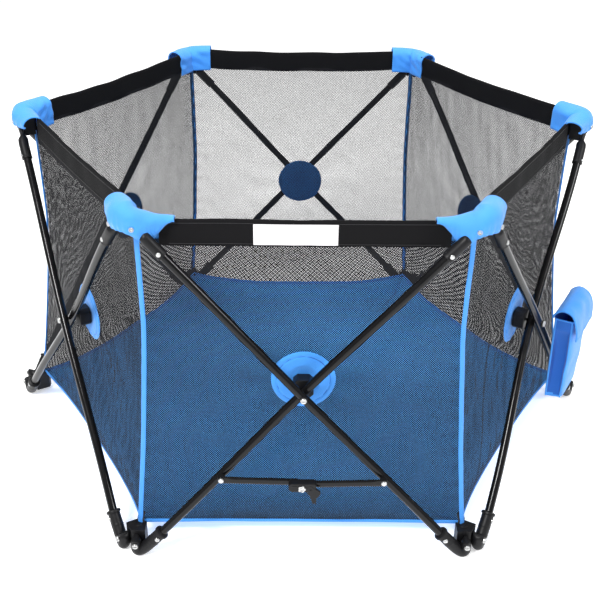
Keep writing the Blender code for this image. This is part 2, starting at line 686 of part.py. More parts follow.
def floor_gore_mesh():
    """One sixth of the floor sheet, from the hem of its panel to the middle."""
    half = FLOOR_OUT * math.tan(TURN / 2) - 0.001
    outline = [(-half, -FLOOR_OUT), (half, -FLOOR_OUT), (0.0, -0.003)]
    return combined(prism(outline, FLOOR_LOW, FLOOR_LOW + NET_T))


def pouch_profile(inset, top):
    """Side view of the pouch as (y, z), narrower at the foot."""
    back = -POUCH_BACK - inset
    front = -POUCH_BACK - POUCH_DEPTH + inset
    return [(back, top), (back, POUCH_LOW + inset), (front + POUCH_TAPER, POUCH_LOW + inset),
            (front, top)]


def along_x(profile, x0, x1):
    """A prism along x over a profile given as (y, z)."""
    obj = plate(profile, x1 - x0)
    obj.data.transform(Matrix.Rotation(math.pi / 2, 4, "Z"))
    obj.data.transform(Matrix.Translation(((x0 + x1) / 2, 0.0, 0.0)))
    return obj


def pouch_mesh():
    """The storage pouch, open at the top under its flap."""
    x1 = POUCH_X0 + POUCH_WIDTH
    outer = along_x(pouch_profile(0.0, POUCH_HIGH), POUCH_X0, x1)
    inner = along_x(pouch_profile(POUCH_WALL, POUCH_HIGH + 0.02), POUCH_X0 + POUCH_WALL,
                    x1 - POUCH_WALL)
    return combined(outer, (), [inner])


def flap_hinge():
    """Middle of the flap's lower back edge, just clear of the pouch's rim."""
    return (POUCH_X0 + POUCH_WIDTH / 2, -POUCH_BACK + POUCH_WALL / 2, POUCH_HIGH + FLAP_CLEAR)


def flap_mesh():
    """The flap: over the mouth in an arch and down in front, as one bent sheet."""
    front = -POUCH_BACK - POUCH_DEPTH - FLAP_OVERHANG
    y0 = -POUCH_BACK
    z0 = POUCH_HIGH + FLAP_CLEAR
    arch = bezier((y0, z0), (y0 - 0.010, z0 + FLAP_RISE), (front - 0.004, z0 + FLAP_RISE),
                  (front, z0 - FLAP_DROP), 9)
    wall = POUCH_WALL
    normals = []
    for i in range(len(arch)):
        a = Vector(arch[max(i - 1, 0)])
        b = Vector(arch[min(i + 1, len(arch) - 1)])
        d = (b - a).normalized()
        normals.append(Vector((d.y, -d.x)))
    under = [tuple(Vector(p)) for p in arch]
    over = [tuple(Vector(p) + n * wall) for p, n in zip(arch, normals)]
    return combined(along_x(under + over[::-1], POUCH_X0 - FLAP_OVERHANG,
                            POUCH_X0 + POUCH_WIDTH + FLAP_OVERHANG))


# ---- Assembly -----------------------------------------------------------------------------------
def build_frame(black_paint, black_plastic, dark_plastic):
    """Tubes, elbows, hubs and crossing blocks, each hung on the empty of its joint.

    The ring is followed both ways from the front left foot hub. Panels 0 to 3 turn on their left foot
    hub through the inner tube, panels 5 and 4 on their right one through the outer tube.
    """
    plain = {"inner": tube_mesh(TUBE_CROSS - TUBE_STACK), "outer": mirrored(tube_mesh(TUBE_CROSS))}
    braced = {"inner": tube_mesh(TUBE_CROSS - TUBE_STACK, True),
              "outer": mirrored(tube_mesh(TUBE_CROSS, True))}
    elbow = elbow_mesh()
    elbows = {"inner": elbow, "outer": mirrored(elbow)}
    block = crossing_block_mesh()
    foot_hub = foot_hub_mesh()
    top_hubs = {side: top_hub_mesh(side) for side in (-1, 1)}
    foot = {"inner": (-FOOT_HALF, -TUBE_FOOT, FOOT_Z), "outer": (FOOT_HALF, -TUBE_FOOT, FOOT_Z)}
    cross = (0.0, -TUBE_CROSS, CROSS_Z)
    hub_empty = {0: joint_axis("axis_foot_hub_front_left", corner_turn(0), (2 * FOOT_HALF, 0, FOOT_Z))}
    tops = {}
    for k in (0, 1, 2, 3, 5, 4):
        name = PANELS[k]
        first, second = ("inner", "outer") if k < 4 else ("outer", "inner")
        start = k if k < 4 else (k + 1) % SIDES
        near = joint_axis(f"axis_{first}_tube_{name}", panel_turn(k), foot[first], hub_empty[start])
        far = joint_axis(f"axis_{second}_tube_{name}", panel_turn(k), cross, near)
        axes = {first: near, second: far}
        meshes = braced if k == 0 else plain
        for layer in ("outer", "inner"):
            place(f"{layer}_tube_{name}", meshes[layer], panel_turn(k), black_paint, cross, axes[layer])
            place(f"{layer}_foot_{name}", elbows[layer], panel_turn(k), black_plastic, foot[layer],
                  axes[layer])
        place(f"crossing_block_{name}", block, panel_turn(k), dark_plastic, cross, axes["inner"])
        end = (k + 1) if k < 4 else k
        if end not in hub_empty and k != 3:
            hub_empty[end] = joint_axis(f"axis_foot_hub_{CORNERS[end]}", corner_turn(end),
                                        (2 * FOOT_HALF, 0, FOOT_Z), axes[second])
        if k < 3:
            tops[k + 1] = (-1, axes["inner"])
        if k in (0, 4, 5):
            tops[k] = (1, axes["outer"])
    for j, corner in enumerate(CORNERS):
        place(f"foot_hub_{corner}", foot_hub,
              corner_turn(j) @ Matrix.Translation((2 * FOOT_HALF, 0, 0)), dark_plastic,
              (0, 0, FOOT_Z), hub_empty[j])
        side, parent = tops[j]
        place(f"top_hub_{corner}", top_hubs[side],
              corner_turn(j) @ Matrix.Translation((2 * TOP_HALF, 0, 0)), dark_plastic,
              (0, 0, TOP_Z), parent)


def build_brace(black_paint, dark_plastic):
    left, right, _, _ = brace_places()
    inner = bpy.data.objects["axis_inner_tube_front"]
    outer = bpy.data.objects["axis_outer_tube_front"]
    place("brace_link_left", brace_left_mesh(), panel_turn(0), black_paint,
          (left[0], -TUBE_FOOT, left[1]), inner)
    link = place("brace_link_right", brace_right_mesh(), panel_turn(0), dark_plastic,
                 (right[0], -TUBE_FOOT, right[1]), outer)
    place("brace_latch", latch_mesh(), panel_turn(0), dark_plastic, latch_pivot(), link)


def build_fabric(net_black, floor_blue, pouch_blue):
    net = net_mesh()
    gore = floor_gore_mesh()
    for k, name in enumerate(PANELS):
        hub = bpy.data.objects[f"top_hub_{CORNERS[k]}"]
        place(f"net_{name}", net, panel_turn(k), net_black, (-TOP_HALF, -TOP_AXIS, TOP_Z), hub)
        place(f"floor_gore_{name}", gore, panel_turn(k), floor_blue,
              (0.0, -FLOOR_OUT, FLOOR_LOW + NET_T / 2), hub)
    block = bpy.data.objects[f"crossing_block_{PANELS[POUCH_PANEL]}"]
    pouch = place("storage_pouch", pouch_mesh(), panel_turn(POUCH_PANEL), pouch_blue,
                  (POUCH_X0, -POUCH_BACK, POUCH_HIGH), block)
    place("pouch_flap", flap_mesh(), panel_turn(POUCH_PANEL), pouch_blue, flap_hinge(), pouch)


def main():
    clear_scene()
    black_paint = finish("black powder coat", (0.012, 0.012, 0.014), 0.28)
    black_plastic = finish("black moulded plastic", (0.016, 0.016, 0.018), 0.42)
    dark_plastic = finish("dark moulded plastic", (0.013, 0.013, 0.014), 0.48)
    net_black = finish("black net", (0.02, 0.02, 0.022), 0.85)
    floor_blue = finish("blue floor fabric", (0.03, 0.11, 0.30), 0.8)
    pouch_blue = finish("bright blue fabric", (0.03, 0.17, 0.62), 0.7)
    build_frame(black_paint, black_plastic, dark_plastic)
    build_brace(black_paint, dark_plastic)
    build_fabric(net_black, floor_blue, pouch_blue)


main()
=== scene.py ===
import json
import math

import bmesh
import bpy
import numpy as np
from bpy.props import FloatProperty, FloatVectorProperty, PointerProperty
from mathutils import Matrix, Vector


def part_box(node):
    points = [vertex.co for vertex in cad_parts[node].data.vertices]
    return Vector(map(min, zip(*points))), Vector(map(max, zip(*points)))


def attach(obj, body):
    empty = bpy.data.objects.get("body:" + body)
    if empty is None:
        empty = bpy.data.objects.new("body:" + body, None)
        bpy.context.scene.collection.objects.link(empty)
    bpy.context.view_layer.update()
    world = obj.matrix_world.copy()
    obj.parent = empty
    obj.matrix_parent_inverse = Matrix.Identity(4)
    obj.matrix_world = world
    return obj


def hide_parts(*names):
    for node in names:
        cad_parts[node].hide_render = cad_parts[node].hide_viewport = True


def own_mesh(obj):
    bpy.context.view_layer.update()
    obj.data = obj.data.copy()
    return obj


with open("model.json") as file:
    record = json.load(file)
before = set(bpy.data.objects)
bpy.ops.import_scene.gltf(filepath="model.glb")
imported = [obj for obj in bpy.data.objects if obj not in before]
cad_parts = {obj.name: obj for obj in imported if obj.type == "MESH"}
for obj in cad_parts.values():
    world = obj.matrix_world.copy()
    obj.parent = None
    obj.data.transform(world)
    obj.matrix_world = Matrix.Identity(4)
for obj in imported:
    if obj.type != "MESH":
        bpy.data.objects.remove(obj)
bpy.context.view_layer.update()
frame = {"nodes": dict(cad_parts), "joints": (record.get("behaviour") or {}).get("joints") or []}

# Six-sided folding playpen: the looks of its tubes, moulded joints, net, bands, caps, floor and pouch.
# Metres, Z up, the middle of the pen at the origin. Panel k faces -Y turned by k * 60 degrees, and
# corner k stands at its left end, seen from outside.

bl_info = {
    "name": "Folding Playpen",
    "version": (1, 0, 0),
    "blender": (4, 5, 0),
    "location": "3D View > Sidebar > Playpen",
    "description": "Builds the visible pieces of a six-sided folding playpen around its frame",
    "category": "Object",
}

PANELS = ["front", "front_right", "rear_right", "rear", "rear_left", "front_left"]
CORNERS = ["front_left", "front_right", "right", "rear_right", "rear_left", "left"]
SIXTH = 60.0
HALF_TURN = math.radians(30.0)
COS30 = math.cos(HALF_TURN)
UP = np.array([0.0, 0.0, 1.0])

# Places of the frame's joints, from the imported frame
JOINTS = {joint["name"]: np.array(joint["pos_m"]) for joint in frame["joints"]}
FOOT, CROSS, TOP = JOINTS["fold"], JOINTS["crossing_front"], JOINTS["top_pivot_inner_front"]
FOOT_HALF, FOOT_PLANE, FOOT_Z = -FOOT[0], -FOOT[1], FOOT[2]
CROSS_PLANE, CROSS_Z = -CROSS[1], CROSS[2]
TOP_HALF, TOP_PLANE, TOP_Z = TOP[0], -TOP[1], TOP[2]
SLOPE = math.atan2(TOP_Z - CROSS_Z, TOP_HALF)
TOP_REACH = math.hypot(TOP_HALF, TOP_Z - CROSS_Z)
MOUTH_REACH = (FOOT_HALF - 0.052) / math.cos(SLOPE)     # crossing to the elbow's mouth
BOW_REACH = 0.9 * MOUTH_REACH                           # the tubes' bow dies out here
STACK = 0.0165                                          # between the two tubes' axes
STRAIGHT = FOOT_PLANE + (TOP_PLANE - FOOT_PLANE) * MOUTH_REACH / (TOP_REACH + MOUTH_REACH)
FOOT_CORNER = 2.0 * FOOT_HALF                           # foot hub axis from the pen's middle
NET_CENTRE = -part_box("crossing_block_front")[1].y       # the net stands against the block here

# Fabric
WAIST, WAIST_Z = 0.5466, 0.45                           # corner seam's narrowest place
BEND_DEPTH, BEND_R = 0.500, 0.028                       # rounded path of the caps
CAP_WINGS = {0: (0.052, 0.076), 1: (0.076, 0.052)}      # the front corners' long wings: over the front band
CAP_PLAIN = (0.060, 0.060)
CAP_PEAK = dict(zip(CORNERS, (0.6760, 0.6760, 0.6875, 0.6890, 0.6890, 0.6875)))
CAP_LOWEST = dict(zip(CORNERS, (0.6340, 0.6340, 0.6500, 0.6400, 0.6400, 0.6500)))
BAND_DEPTH, BAND_HALF_T = 0.4785, 0.0036
BAND_MID = dict(zip(PANELS, (0.618, 0.641, 0.655, 0.660, 0.655, 0.641)))
BAND_END = 0.238
BAND_SAG = dict(zip(PANELS, (0.001, 0.005, 0.006, 0.006, 0.006, 0.005)))
HEM_CORNER, HEM_MID = (0.518, 0.047), (0.495, 0.030)    # depth and height of the lower edge
FLOOR_Z = 0.0042
CAP_INNER, CAP_OUTER, CAP_TIP = 0.4722, 0.5212, 0.610   # depths of a cap's faces, height of its long wing
SNAP_SIDE = 0.0135                                      # from the corner round to each snap
LABEL_LEFT, LABEL_RIGHT, LABEL_HALF = -0.0846, 0.0534, 0.0182
DISC_Z, DISC_RING = CROSS_Z + 0.004, 0.83               # a disc's middle; its stitches' share of the radius
THICKNESS = {"net": 0.0008, "cap": 0.0024, "label": 0.0006, "floor": 0.0016, "pouch": 0.0016,
             "flap": 0.0018}
SEAM_GAP = 0.0006                                       # from a net's edge to the middle of its seam

# Moulded pieces
SOCKET_LENGTH, LUG_LENGTH = 0.074, 0.031                # of a tube's top, back from its pivot
LUG_HALF, LUG_HALF_T = 0.0082, 0.0039
ELBOW_SOCKET, ELBOW_SCREW = 0.034, 0.016                # straight part and screw, from an elbow's mouth

# Which way along its panel a tube of each layer leans
SIDE = {"inner": 1.0, "outer": -1.0}

# Radius, height and half width of the slot of each kind of head
HEADS = {"socket": (0.0040, 0.0021, 0.0), "elbow": (0.0044, 0.0024, 0.0006),
         "pivot": (0.0056, 0.0030, 0.0007), "crossing": (0.0058, 0.0034, 0.0007),
         "brace": (0.0050, 0.0028, 0.0)}


# ---- Settings -----------------------------------------------------------------------------------
def linear(code):
    """The linear red, green and blue of an sRGB hex colour."""
    values = [int(code[i:i + 2], 16) / 255.0 for i in (1, 3, 5)]
    return tuple(v / 12.92 if v <= 0.04045 else ((v + 0.055) / 1.055) ** 2.4 for v in values)


def length(name, description, default):
    return FloatProperty(name=name, description=description, default=default, unit="LENGTH")


def colour(name, description, code):
    return FloatVectorProperty(name=name, description=description, default=linear(code), subtype="COLOR",
                               size=3, min=0.0, max=1.0)


class PlaypenSizes(bpy.types.PropertyGroup):
    """Sizes of the pieces that can be changed without changing the frame."""
    tube_radius: length("Tube radius", "Radius of the steel tubes", 0.008)
    elbow_radius: length("Elbow radius", "Radius of the moulded elbows", 0.0113)
    collar_radius: length("Collar radius", "Radius of the collar at an elbow's mouth", 0.0135)
    socket_radius: length("Socket radius", "Radius of the moulded socket at a tube's top", 0.0100)
    band_height: length("Band height", "Height of the black band round the top", 0.047)
    net_pitch: length("Net pitch", "Distance between two holes of the net", 0.0042)
    seam_width: length("Seam width", "Width of the tape over a corner seam", 0.0105)
    disc_radius: length("Disc radius", "Radius of the padded disc behind a crossing", 0.057)
    hem_height: length("Hem height", "Height of the piping along the lower edge", 0.0085)
    snap_radius: length("Snap radius", "Radius of the snaps on a corner cap", 0.0043)


class PlaypenColours(bpy.types.PropertyGroup):
    """Colours of the cloth and the frame."""
    # the next two colours are a lit and a shaded copy of one cloth: painted light on the threads on top, painted
    # shade down between them
    cloth: colour("Cloth", "Azure cloth of the caps, discs, tapes and pouch", "#449BF0")
    cloth_painted_shade: colour("Cloth in its weave", "The same cloth down between its threads", "#2A76D0")
    # the next two colours are a lit and a shaded copy of the floor cloth: painted light on the threads on top,
    # painted shade down between them
    floor: colour("Floor", "Coated cloth of the floor", "#46A6F4")
    floor_painted_shade: colour("Floor in its weave", "The floor between its threads", "#2E86D2")
    gusset: colour("Gusset", "Darker cloth at the pouch's sides", "#1F66C4")
    band: colour("Band", "Black coated cloth of the top band", "#111113")
    yarn: colour("Net yarn", "Black yarn of the net", "#1B1B1D")
    paint: colour("Paint", "Black powder coat of the tubes", "#0B0B0C")
    nylon: colour("Nylon", "Black moulded nylon", "#0F0F11")
    zinc: colour("Zinc", "Zinc plated screws and snaps", "#A9AAAC")


# ---- Places -------------------------------------------------------------------------------------
def turned(points, degrees):
    """Points turned about the upright axis through the pen's middle."""
    c, s = math.cos(math.radians(degrees)), math.sin(math.radians(degrees))
    x, y, z = points[..., 0], points[..., 1], points[..., 2]
    return np.stack([c * x - s * y, s * x + c * y, z], axis=-1)


def on_panel(k, along, depth, height):
    """Points from their place along panel k, their distance from the pen's middle, and their height."""
    along, depth, height = np.broadcast_arrays(along, depth, height)
    return turned(np.stack([along, -depth, height], axis=-1), SIXTH * k)


def panel_axes(k):
    """Outward, along and up, as unit vectors of panel k."""
    return (turned(np.array([0.0, -1.0, 0.0]), SIXTH * k),
            turned(np.array([1.0, 0.0, 0.0]), SIXTH * k), UP)


def in_corner(j, radial, tangential, height):
    """Points from their place in corner j: out along its radius, round the pen, and up."""
    radial, tangential, height = np.broadcast_arrays(radial, tangential, height)
    return turned(np.stack([radial, tangential, height], axis=-1), -120.0 + SIXTH * j)


def round_corner(j, s, depth, height):
    """Points s metres round the rounded path of corner j.

    The path is straight along both panels and turns 60 degrees on an arc between them. A point stands
    off it by depth - BEND_DEPTH along the path's normal.
    """
    s, depth, height = np.broadcast_arrays(s, depth, height)
    turn = np.clip(s / BEND_R, -HALF_TURN, HALF_TURN)
    straight = s - turn * BEND_R
    off = BEND_R + depth - BEND_DEPTH
    centre = BEND_DEPTH / COS30 - BEND_R / COS30
    radial = centre + np.cos(turn) * off - np.sin(turn) * straight
    return in_corner(j, radial, np.sin(turn) * off + np.cos(turn) * straight, height)


def seam_radius(z):
    """Distance of a corner seam from the middle: the waist, a 1.3 power below it, a square above it."""
    low = np.maximum(0.0, WAIST_Z - z)
    high = np.clip((z - WAIST_Z) / 0.2, 0.0, 1.0)
    return WAIST + 0.168 * low ** 1.3 + 0.003 * high ** 2


def smooth(x):
    """A smooth step from 0 to 1."""
    x = np.clip(x, 0.0, 1.0)
    return x * x * (3.0 - 2.0 * x)


def bell(x, at, width):
    """A bump of height 1 at a place, which dies out over its width."""
    return np.exp(-((x - at) / width) ** 2)


def domed(run, start, reach, least):
    """Share of the radius past a start: a quarter circle that closes over its reach."""
    return np.sqrt(np.clip(1.0 - np.clip((run - start) / reach, 0.0, 1.0) ** 2, least, 1.0))


def cubic(points, t):
    """Places at t on the cubic curve of four points."""
    a, b, c, d = points
    t = np.asarray(t)[..., None]
    return (1 - t) ** 3 * a + 3 * (1 - t) ** 2 * t * b + 3 * (1 - t) * t * t * c + t ** 3 * d


def run_along(path):
    """Running length along a path, in metres."""
    return np.concatenate([[0.0], np.cumsum(np.linalg.norm(np.diff(path, axis=0), axis=1))])


def ripple(x, y, seed, wave):
    """Soft creases: five sine waves in seeded directions, about one wave long, between -1 and 1."""
    draw = np.random.default_rng(seed)
    total = 0.0
    for _ in range(5):
        way, shift = draw.uniform(0.0, 2.0 * np.pi, 2)
        span = wave * draw.uniform(0.6, 1.7)
        total = total + np.sin(2.0 * np.pi * (x * np.cos(way) + y * np.sin(way)) / span + shift)
    return total / 5.0


# ---- Shapes: each is its points, its faces and a flat map in metres -------------------------------
def quads(rows, columns, loop=False):
    """Four-sided faces of a grid, whose last column may join its first."""
    i, j = np.meshgrid(np.arange(rows - 1), np.arange(columns if loop else columns - 1), indexing="ij")
    right = (j + 1) % columns
    faces = [i * columns + j, (i + 1) * columns + j, (i + 1) * columns + right, i * columns + right]
    return np.stack(faces, axis=-1).reshape(-1, 4)


def spans(points, axis):
    """Running length along an axis of a grid of points, in metres."""
    steps = np.linalg.norm(np.diff(points, axis=axis), axis=-1)
    steps = steps.mean(axis=1 - axis)
    return np.concatenate([[0.0], np.cumsum(steps)])


def grid(points, loop=False):
    """A surface over a grid of points, rows by columns."""
    rows, columns = points.shape[:2]
    u, v = np.meshgrid(spans(points, 1), spans(points, 0))
    uv = np.stack([u, v], axis=-1).reshape(-1, 2)
    return points.reshape(-1, 3), quads(rows, columns, loop).tolist(), uv


def sweep(path, across, out, ref, sides=20, power=1.0):
    """A rounded profile carried along a path, and closed at both ends.

    At each station the ring is the path + across * cos(a) * side + out * sin(a) * normal, where normal is
    ref made square to the path. A power under 1 makes the ring squarer.
    """
    path = np.asarray(path, float)
    count = len(path)
    along = np.gradient(path, axis=0)
    along /= np.linalg.norm(along, axis=1, keepdims=True)
    normal = np.broadcast_to(ref, path.shape) - along * np.sum(along * ref, axis=1, keepdims=True)
    normal = normal / np.linalg.norm(normal, axis=1, keepdims=True)
    side = np.cross(along, normal)
    angle = np.linspace(0.0, 2.0 * np.pi, sides, endpoint=False)
    c, s = [np.sign(v) * np.abs(v) ** power for v in (np.cos(angle), np.sin(angle))]
    across, out = [np.broadcast_to(v, (count,)) for v in (across, out)]
    ring = (path[:, None] + (across[:, None] * c)[..., None] * side[:, None]
            + (out[:, None] * s)[..., None] * normal[:, None])
    points = np.concatenate([ring.reshape(-1, 3), path[:1], path[-1:]])
    first, last = count * sides, (count - 1) * sides
    turn = np.arange(sides)
    after = (turn + 1) % sides
    fans = np.concatenate([np.stack([np.full(sides, first), turn, after], 1),
                           np.stack([np.full(sides, first + 1), last + after, last + turn], 1)])
    run = run_along(path)
    u, v = np.meshgrid(angle * float(np.mean(np.maximum(across, out))), run)
    uv = np.concatenate([np.stack([u, v], -1).reshape(-1, 2), [[0.0, 0.0], [0.0, run[-1]]]])
    return points, quads(count, sides, True).tolist() + fans.tolist(), uv


def rounded(run, radius):
    """Share of the full radius along a run whose two ends are rounded: a quarter circle at each."""
    edge = np.minimum(run - run[0], run[-1] - run)
    return np.sqrt(np.maximum(1.0 - (1.0 - np.clip(edge / radius, 0.0, 1.0)) ** 2, 0.0004))


def turned_shape(centre, axes, radii, heights, sides=28, slot=0.0, lobes=0):
    """A profile turned about an axis, from pole to pole.

    radii and heights give the profile from the top. A slot is cut across the top where the face is
    within its half width of the middle line, and lobes wave the radius round the axis.
    """
    out, one, two = axes
    angle = np.linspace(0.0, 2.0 * np.pi, sides, endpoint=False)
    radii, heights = np.asarray(radii, float), np.asarray(heights, float)
    wide = radii.max()
    r = radii[:, None] * (1.0 + (0.13 * np.cos(lobes * angle) if lobes else 0.0 * angle))
    x, y = r * np.cos(angle), r * np.sin(angle)
    h = heights[:, None] + 0.0 * x
    if slot:
        in_slot = (np.abs(y) < slot) & (r < 0.8 * wide) & (h > 0.35 * heights.max())
        h = np.where(in_slot, h - 0.45 * heights.max(), h)
    points = centre + x[..., None] * one + y[..., None] * two + h[..., None] * out
    return grid(points, loop=True)


def screw(centre, axes, radius, height, slot=0.0):
    """A pan head: a flat dome whose edge is a quarter circle, down to its seat."""
    a = np.linspace(0.0, np.pi / 2.0, 9)
    radii = np.concatenate([[0.0, 0.12, 0.25, 0.4, 0.55], 0.68 + 0.32 * np.sin(a), [1.0, 0.0]]) * radius
    rise = np.concatenate([[1.0, 1.0, 0.995, 0.985, 0.97], 0.3 + 0.64 * np.cos(a), [-0.25, -0.25]])
    return turned_shape(centre, axes, radii, rise * height, slot=slot)


def prism(k, outline, near, far):
    """A plate in panel k over an outline of places along it and heights, between two depths."""
    outline = np.asarray(outline, float)
    count = len(outline)
    ends = [on_panel(k, outline[:, 0], depth, outline[:, 1]) for depth in (near, far)]
    points = np.concatenate(ends)
    turn = np.arange(count)
    after = (turn + 1) % count
    walls = np.stack([turn, after, count + after, count + turn], 1).tolist()
    faces = walls + [list(range(count)), list(range(count, 2 * count))]
    return points, faces, np.tile(outline, (2, 1))


def joined(shapes):
    """Several shapes as one."""
    points, faces, maps, start = [], [], [], 0
    for p, f, uv in shapes:
        points.append(p)
        faces += [[start + v for v in face] for face in f]
        maps.append(uv)
        start += len(p)
    return np.concatenate(points), faces, np.concatenate(maps)


def lay_out(mesh, uv):
    """Sets a mesh's map from a flat place in metres for each of its vertices."""
    index = np.empty(len(mesh.loops), np.int32)
    mesh.loops.foreach_get("vertex_index", index)
    mesh.uv_layers["UVMap"].data.foreach_set("uv", np.ascontiguousarray(uv[index], np.float32).ravel())


def new_piece(name, shape, body, finish, closed=True, sharp=40.0):
    """A piece of the object from a shape, riding on a body of the frame."""
    points, faces, uv = shape
    mesh = bpy.data.meshes.new(name)
    mesh.from_pydata(points.tolist(), [], faces)
    mesh.uv_layers.new(name="UVMap")
    lay_out(mesh, uv)
    if closed:
        bm = bmesh.new()
        bm.from_mesh(mesh)
        bmesh.ops.remove_doubles(bm, verts=bm.verts, dist=1e-6)
        bmesh.ops.recalc_face_normals(bm, faces=bm.faces)
        bm.to_mesh(mesh)
        bm.free()
    mesh.shade_smooth()
    mesh.set_sharp_from_angle(angle=math.radians(sharp))
    mesh.materials.append(material(finish))
    obj = bpy.data.objects.new(name, mesh)
    bpy.context.scene.collection.objects.link(obj)
    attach(obj, body)
    return obj


def thicken(obj, thickness, offset=0.0, rim=True):
    """Gives a sheet its thickness."""
    shell = obj.modifiers.new("thickness", "SOLIDIFY")
    shell.thickness = thickness
    shell.offset = offset
    shell.use_rim = rim
    return obj


def soften(obj, width, segments=2):
    """Rounds the edges of a moulded piece."""
    bevel = obj.modifiers.new("edges", "BEVEL")
    bevel.width = width
    bevel.segments = segments
    bevel.limit_method = "ANGLE"
    return obj


def draw_in(obj, along, anchor):
    """Gives the piece its own copy of its mesh; the line and the anchor are not used."""
    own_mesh(obj)


def crumple(obj, k):
    """Gives the piece its own copy of its mesh."""
    draw_in(obj, panel_axes(k)[1], in_corner(k, 2.0 * TOP_HALF, 0.0, TOP_Z))


# ---- Finishes -----------------------------------------------------------------------------------
def add(tree, kind, inputs=(), **settings):
    """Adds a shader node. inputs maps a socket's name or number to a value or another node's output."""
    node = tree.nodes.new("ShaderNode" + kind)
    for key, value in settings.items():
        setattr(node, key, value)
    for key, value in dict(inputs).items():
        if isinstance(value, bpy.types.NodeSocket):
            tree.links.new(value, node.inputs[key])
        else:
            node.inputs[key].default_value = value
    return node


def shader(name, **values):
    """A material with a Principled shader, and its tree, shader and coordinates."""
    mat = bpy.data.materials.new(name)
    mat.use_nodes = True
    tree = mat.node_tree
    principled = tree.nodes["Principled BSDF"]
    for key, value in values.items():
        principled.inputs[key.replace("_", " ")].default_value = value
    return mat, tree, principled, add(tree, "TexCoord").outputs


def wired(tree, principled, **outputs):
    """Feeds nodes' outputs into the inputs of a Principled shader."""
    for key, value in outputs.items():
        tree.links.new(value, principled.inputs[key.replace("_", " ")])


def hard_of(name, light, worn, drift, grain, rough, relief, within=(0.0, 1.0), **values):
    """A hard surface: its shade and shine drift with one noise, and another gives its grain.

    drift and grain are the scale and detail of their noises. The roughness goes over its range while
    the drift goes over the range within. relief is the strength and depth of the grain.
    """
    mat, tree, principled, where = shader(name, **values)
    cloud, fine = [add(tree, "TexNoise", {"Vector": where["Object"], "Scale": scale, "Detail": detail})
                   for scale, detail in (drift, grain)]
    tint = add(tree, "Mix", {0: cloud.outputs["Fac"], 6: (*light, 1.0), 7: (*linear(worn), 1.0)},
               data_type="RGBA")
    shine = add(tree, "MapRange", {"Value": cloud.outputs["Fac"], "From Min": within[0],
                                   "From Max": within[1], "To Min": rough[0], "To Max": rough[1]})
    bump = add(tree, "Bump", {"Height": fine.outputs["Fac"], "Strength": relief[0],
                              "Distance": relief[1]})
    wired(tree, principled, Base_Color=tint.outputs[2], Roughness=shine.outputs["Result"],
          Normal=bump.outputs["Normal"])
    return mat


def paint_of(colours):
    """Black powder coat, baked on steel tube: gloss with a faint orange peel, and handling dust."""
    return hard_of("powder coat", colours.paint, "#131315", (38.0, 5.0), (420.0, 2.0), (0.13, 0.24),
                   (0.12, 0.0003), (0.35, 0.75), Roughness=0.2, Specular_IOR_Level=0.22)


def nylon_of(colours):
    """Black nylon, injection moulded in a sparked mould: a fine even grain and a soft shine."""
    return hard_of("moulded nylon", colours.nylon, "#18181A", (60.0, 4.0), (1300.0, 3.0), (0.34, 0.52),
                   (0.3, 0.0002), Roughness=0.42, Specular_IOR_Level=0.22)


def zinc_of(colours):
    """Zinc plate on pressed steel: bright and slightly cloudy, with fine press marks."""
    return hard_of("zinc plate", colours.zinc, "#CDCDCB", (240.0, 4.0), (240.0, 4.0), (0.2, 0.4),
                   (0.15, 0.0002), Metallic=1.0)


def weave_of(colours, name, light, painted_shade_and_tone, thread, roughness, sheen, relief=0.35, drifting=0.25, shine=0.3):
    """A plain weave: two sets of threads cross over and under, with painted light where a thread lies on top and
    painted shade down between the threads.

    thread is the distance between threads. The cloth's shade drifts a little over its width.
    """
    light, painted_shade_and_tone = [linear(c) if c.startswith("#") else getattr(colours, c) for c in (light, painted_shade_and_tone)]
    mat, tree, principled, where = shader(name, Roughness=roughness, Sheen_Weight=sheen,
                                          Sheen_Roughness=0.5, Specular_IOR_Level=shine)
    wave = math.pi / (10.0 * thread)
    warp, weft = [add(tree, "TexWave", {"Vector": where["UV"], "Scale": wave, "Distortion": 0.3,
                                        "Detail Scale": 1.5}, bands_direction=way) for way in "XY"]
    over = add(tree, "Math", {0: warp.outputs["Fac"], 1: weft.outputs["Fac"]}, operation="MAXIMUM")
    drift = add(tree, "TexNoise", {"Vector": where["UV"], "Scale": 14.0, "Detail": 6.0,
                                   "Roughness": 0.6})
    share = add(tree, "Mix", {0: drifting, 2: over.outputs[0], 3: drift.outputs["Fac"]})
    # painted shade between the threads and painted light on their tops, mixed with a random drift in tone
    tint = add(tree, "Mix", {0: share.outputs[0], 6: (*painted_shade_and_tone, 1.0), 7: (*light, 1.0)}, data_type="RGBA")
    bump = add(tree, "Bump", {"Height": over.outputs[0], "Strength": relief, "Distance": thread * 0.4})
    wired(tree, principled, Base_Color=tint.outputs[2], Normal=bump.outputs["Normal"])
    return mat


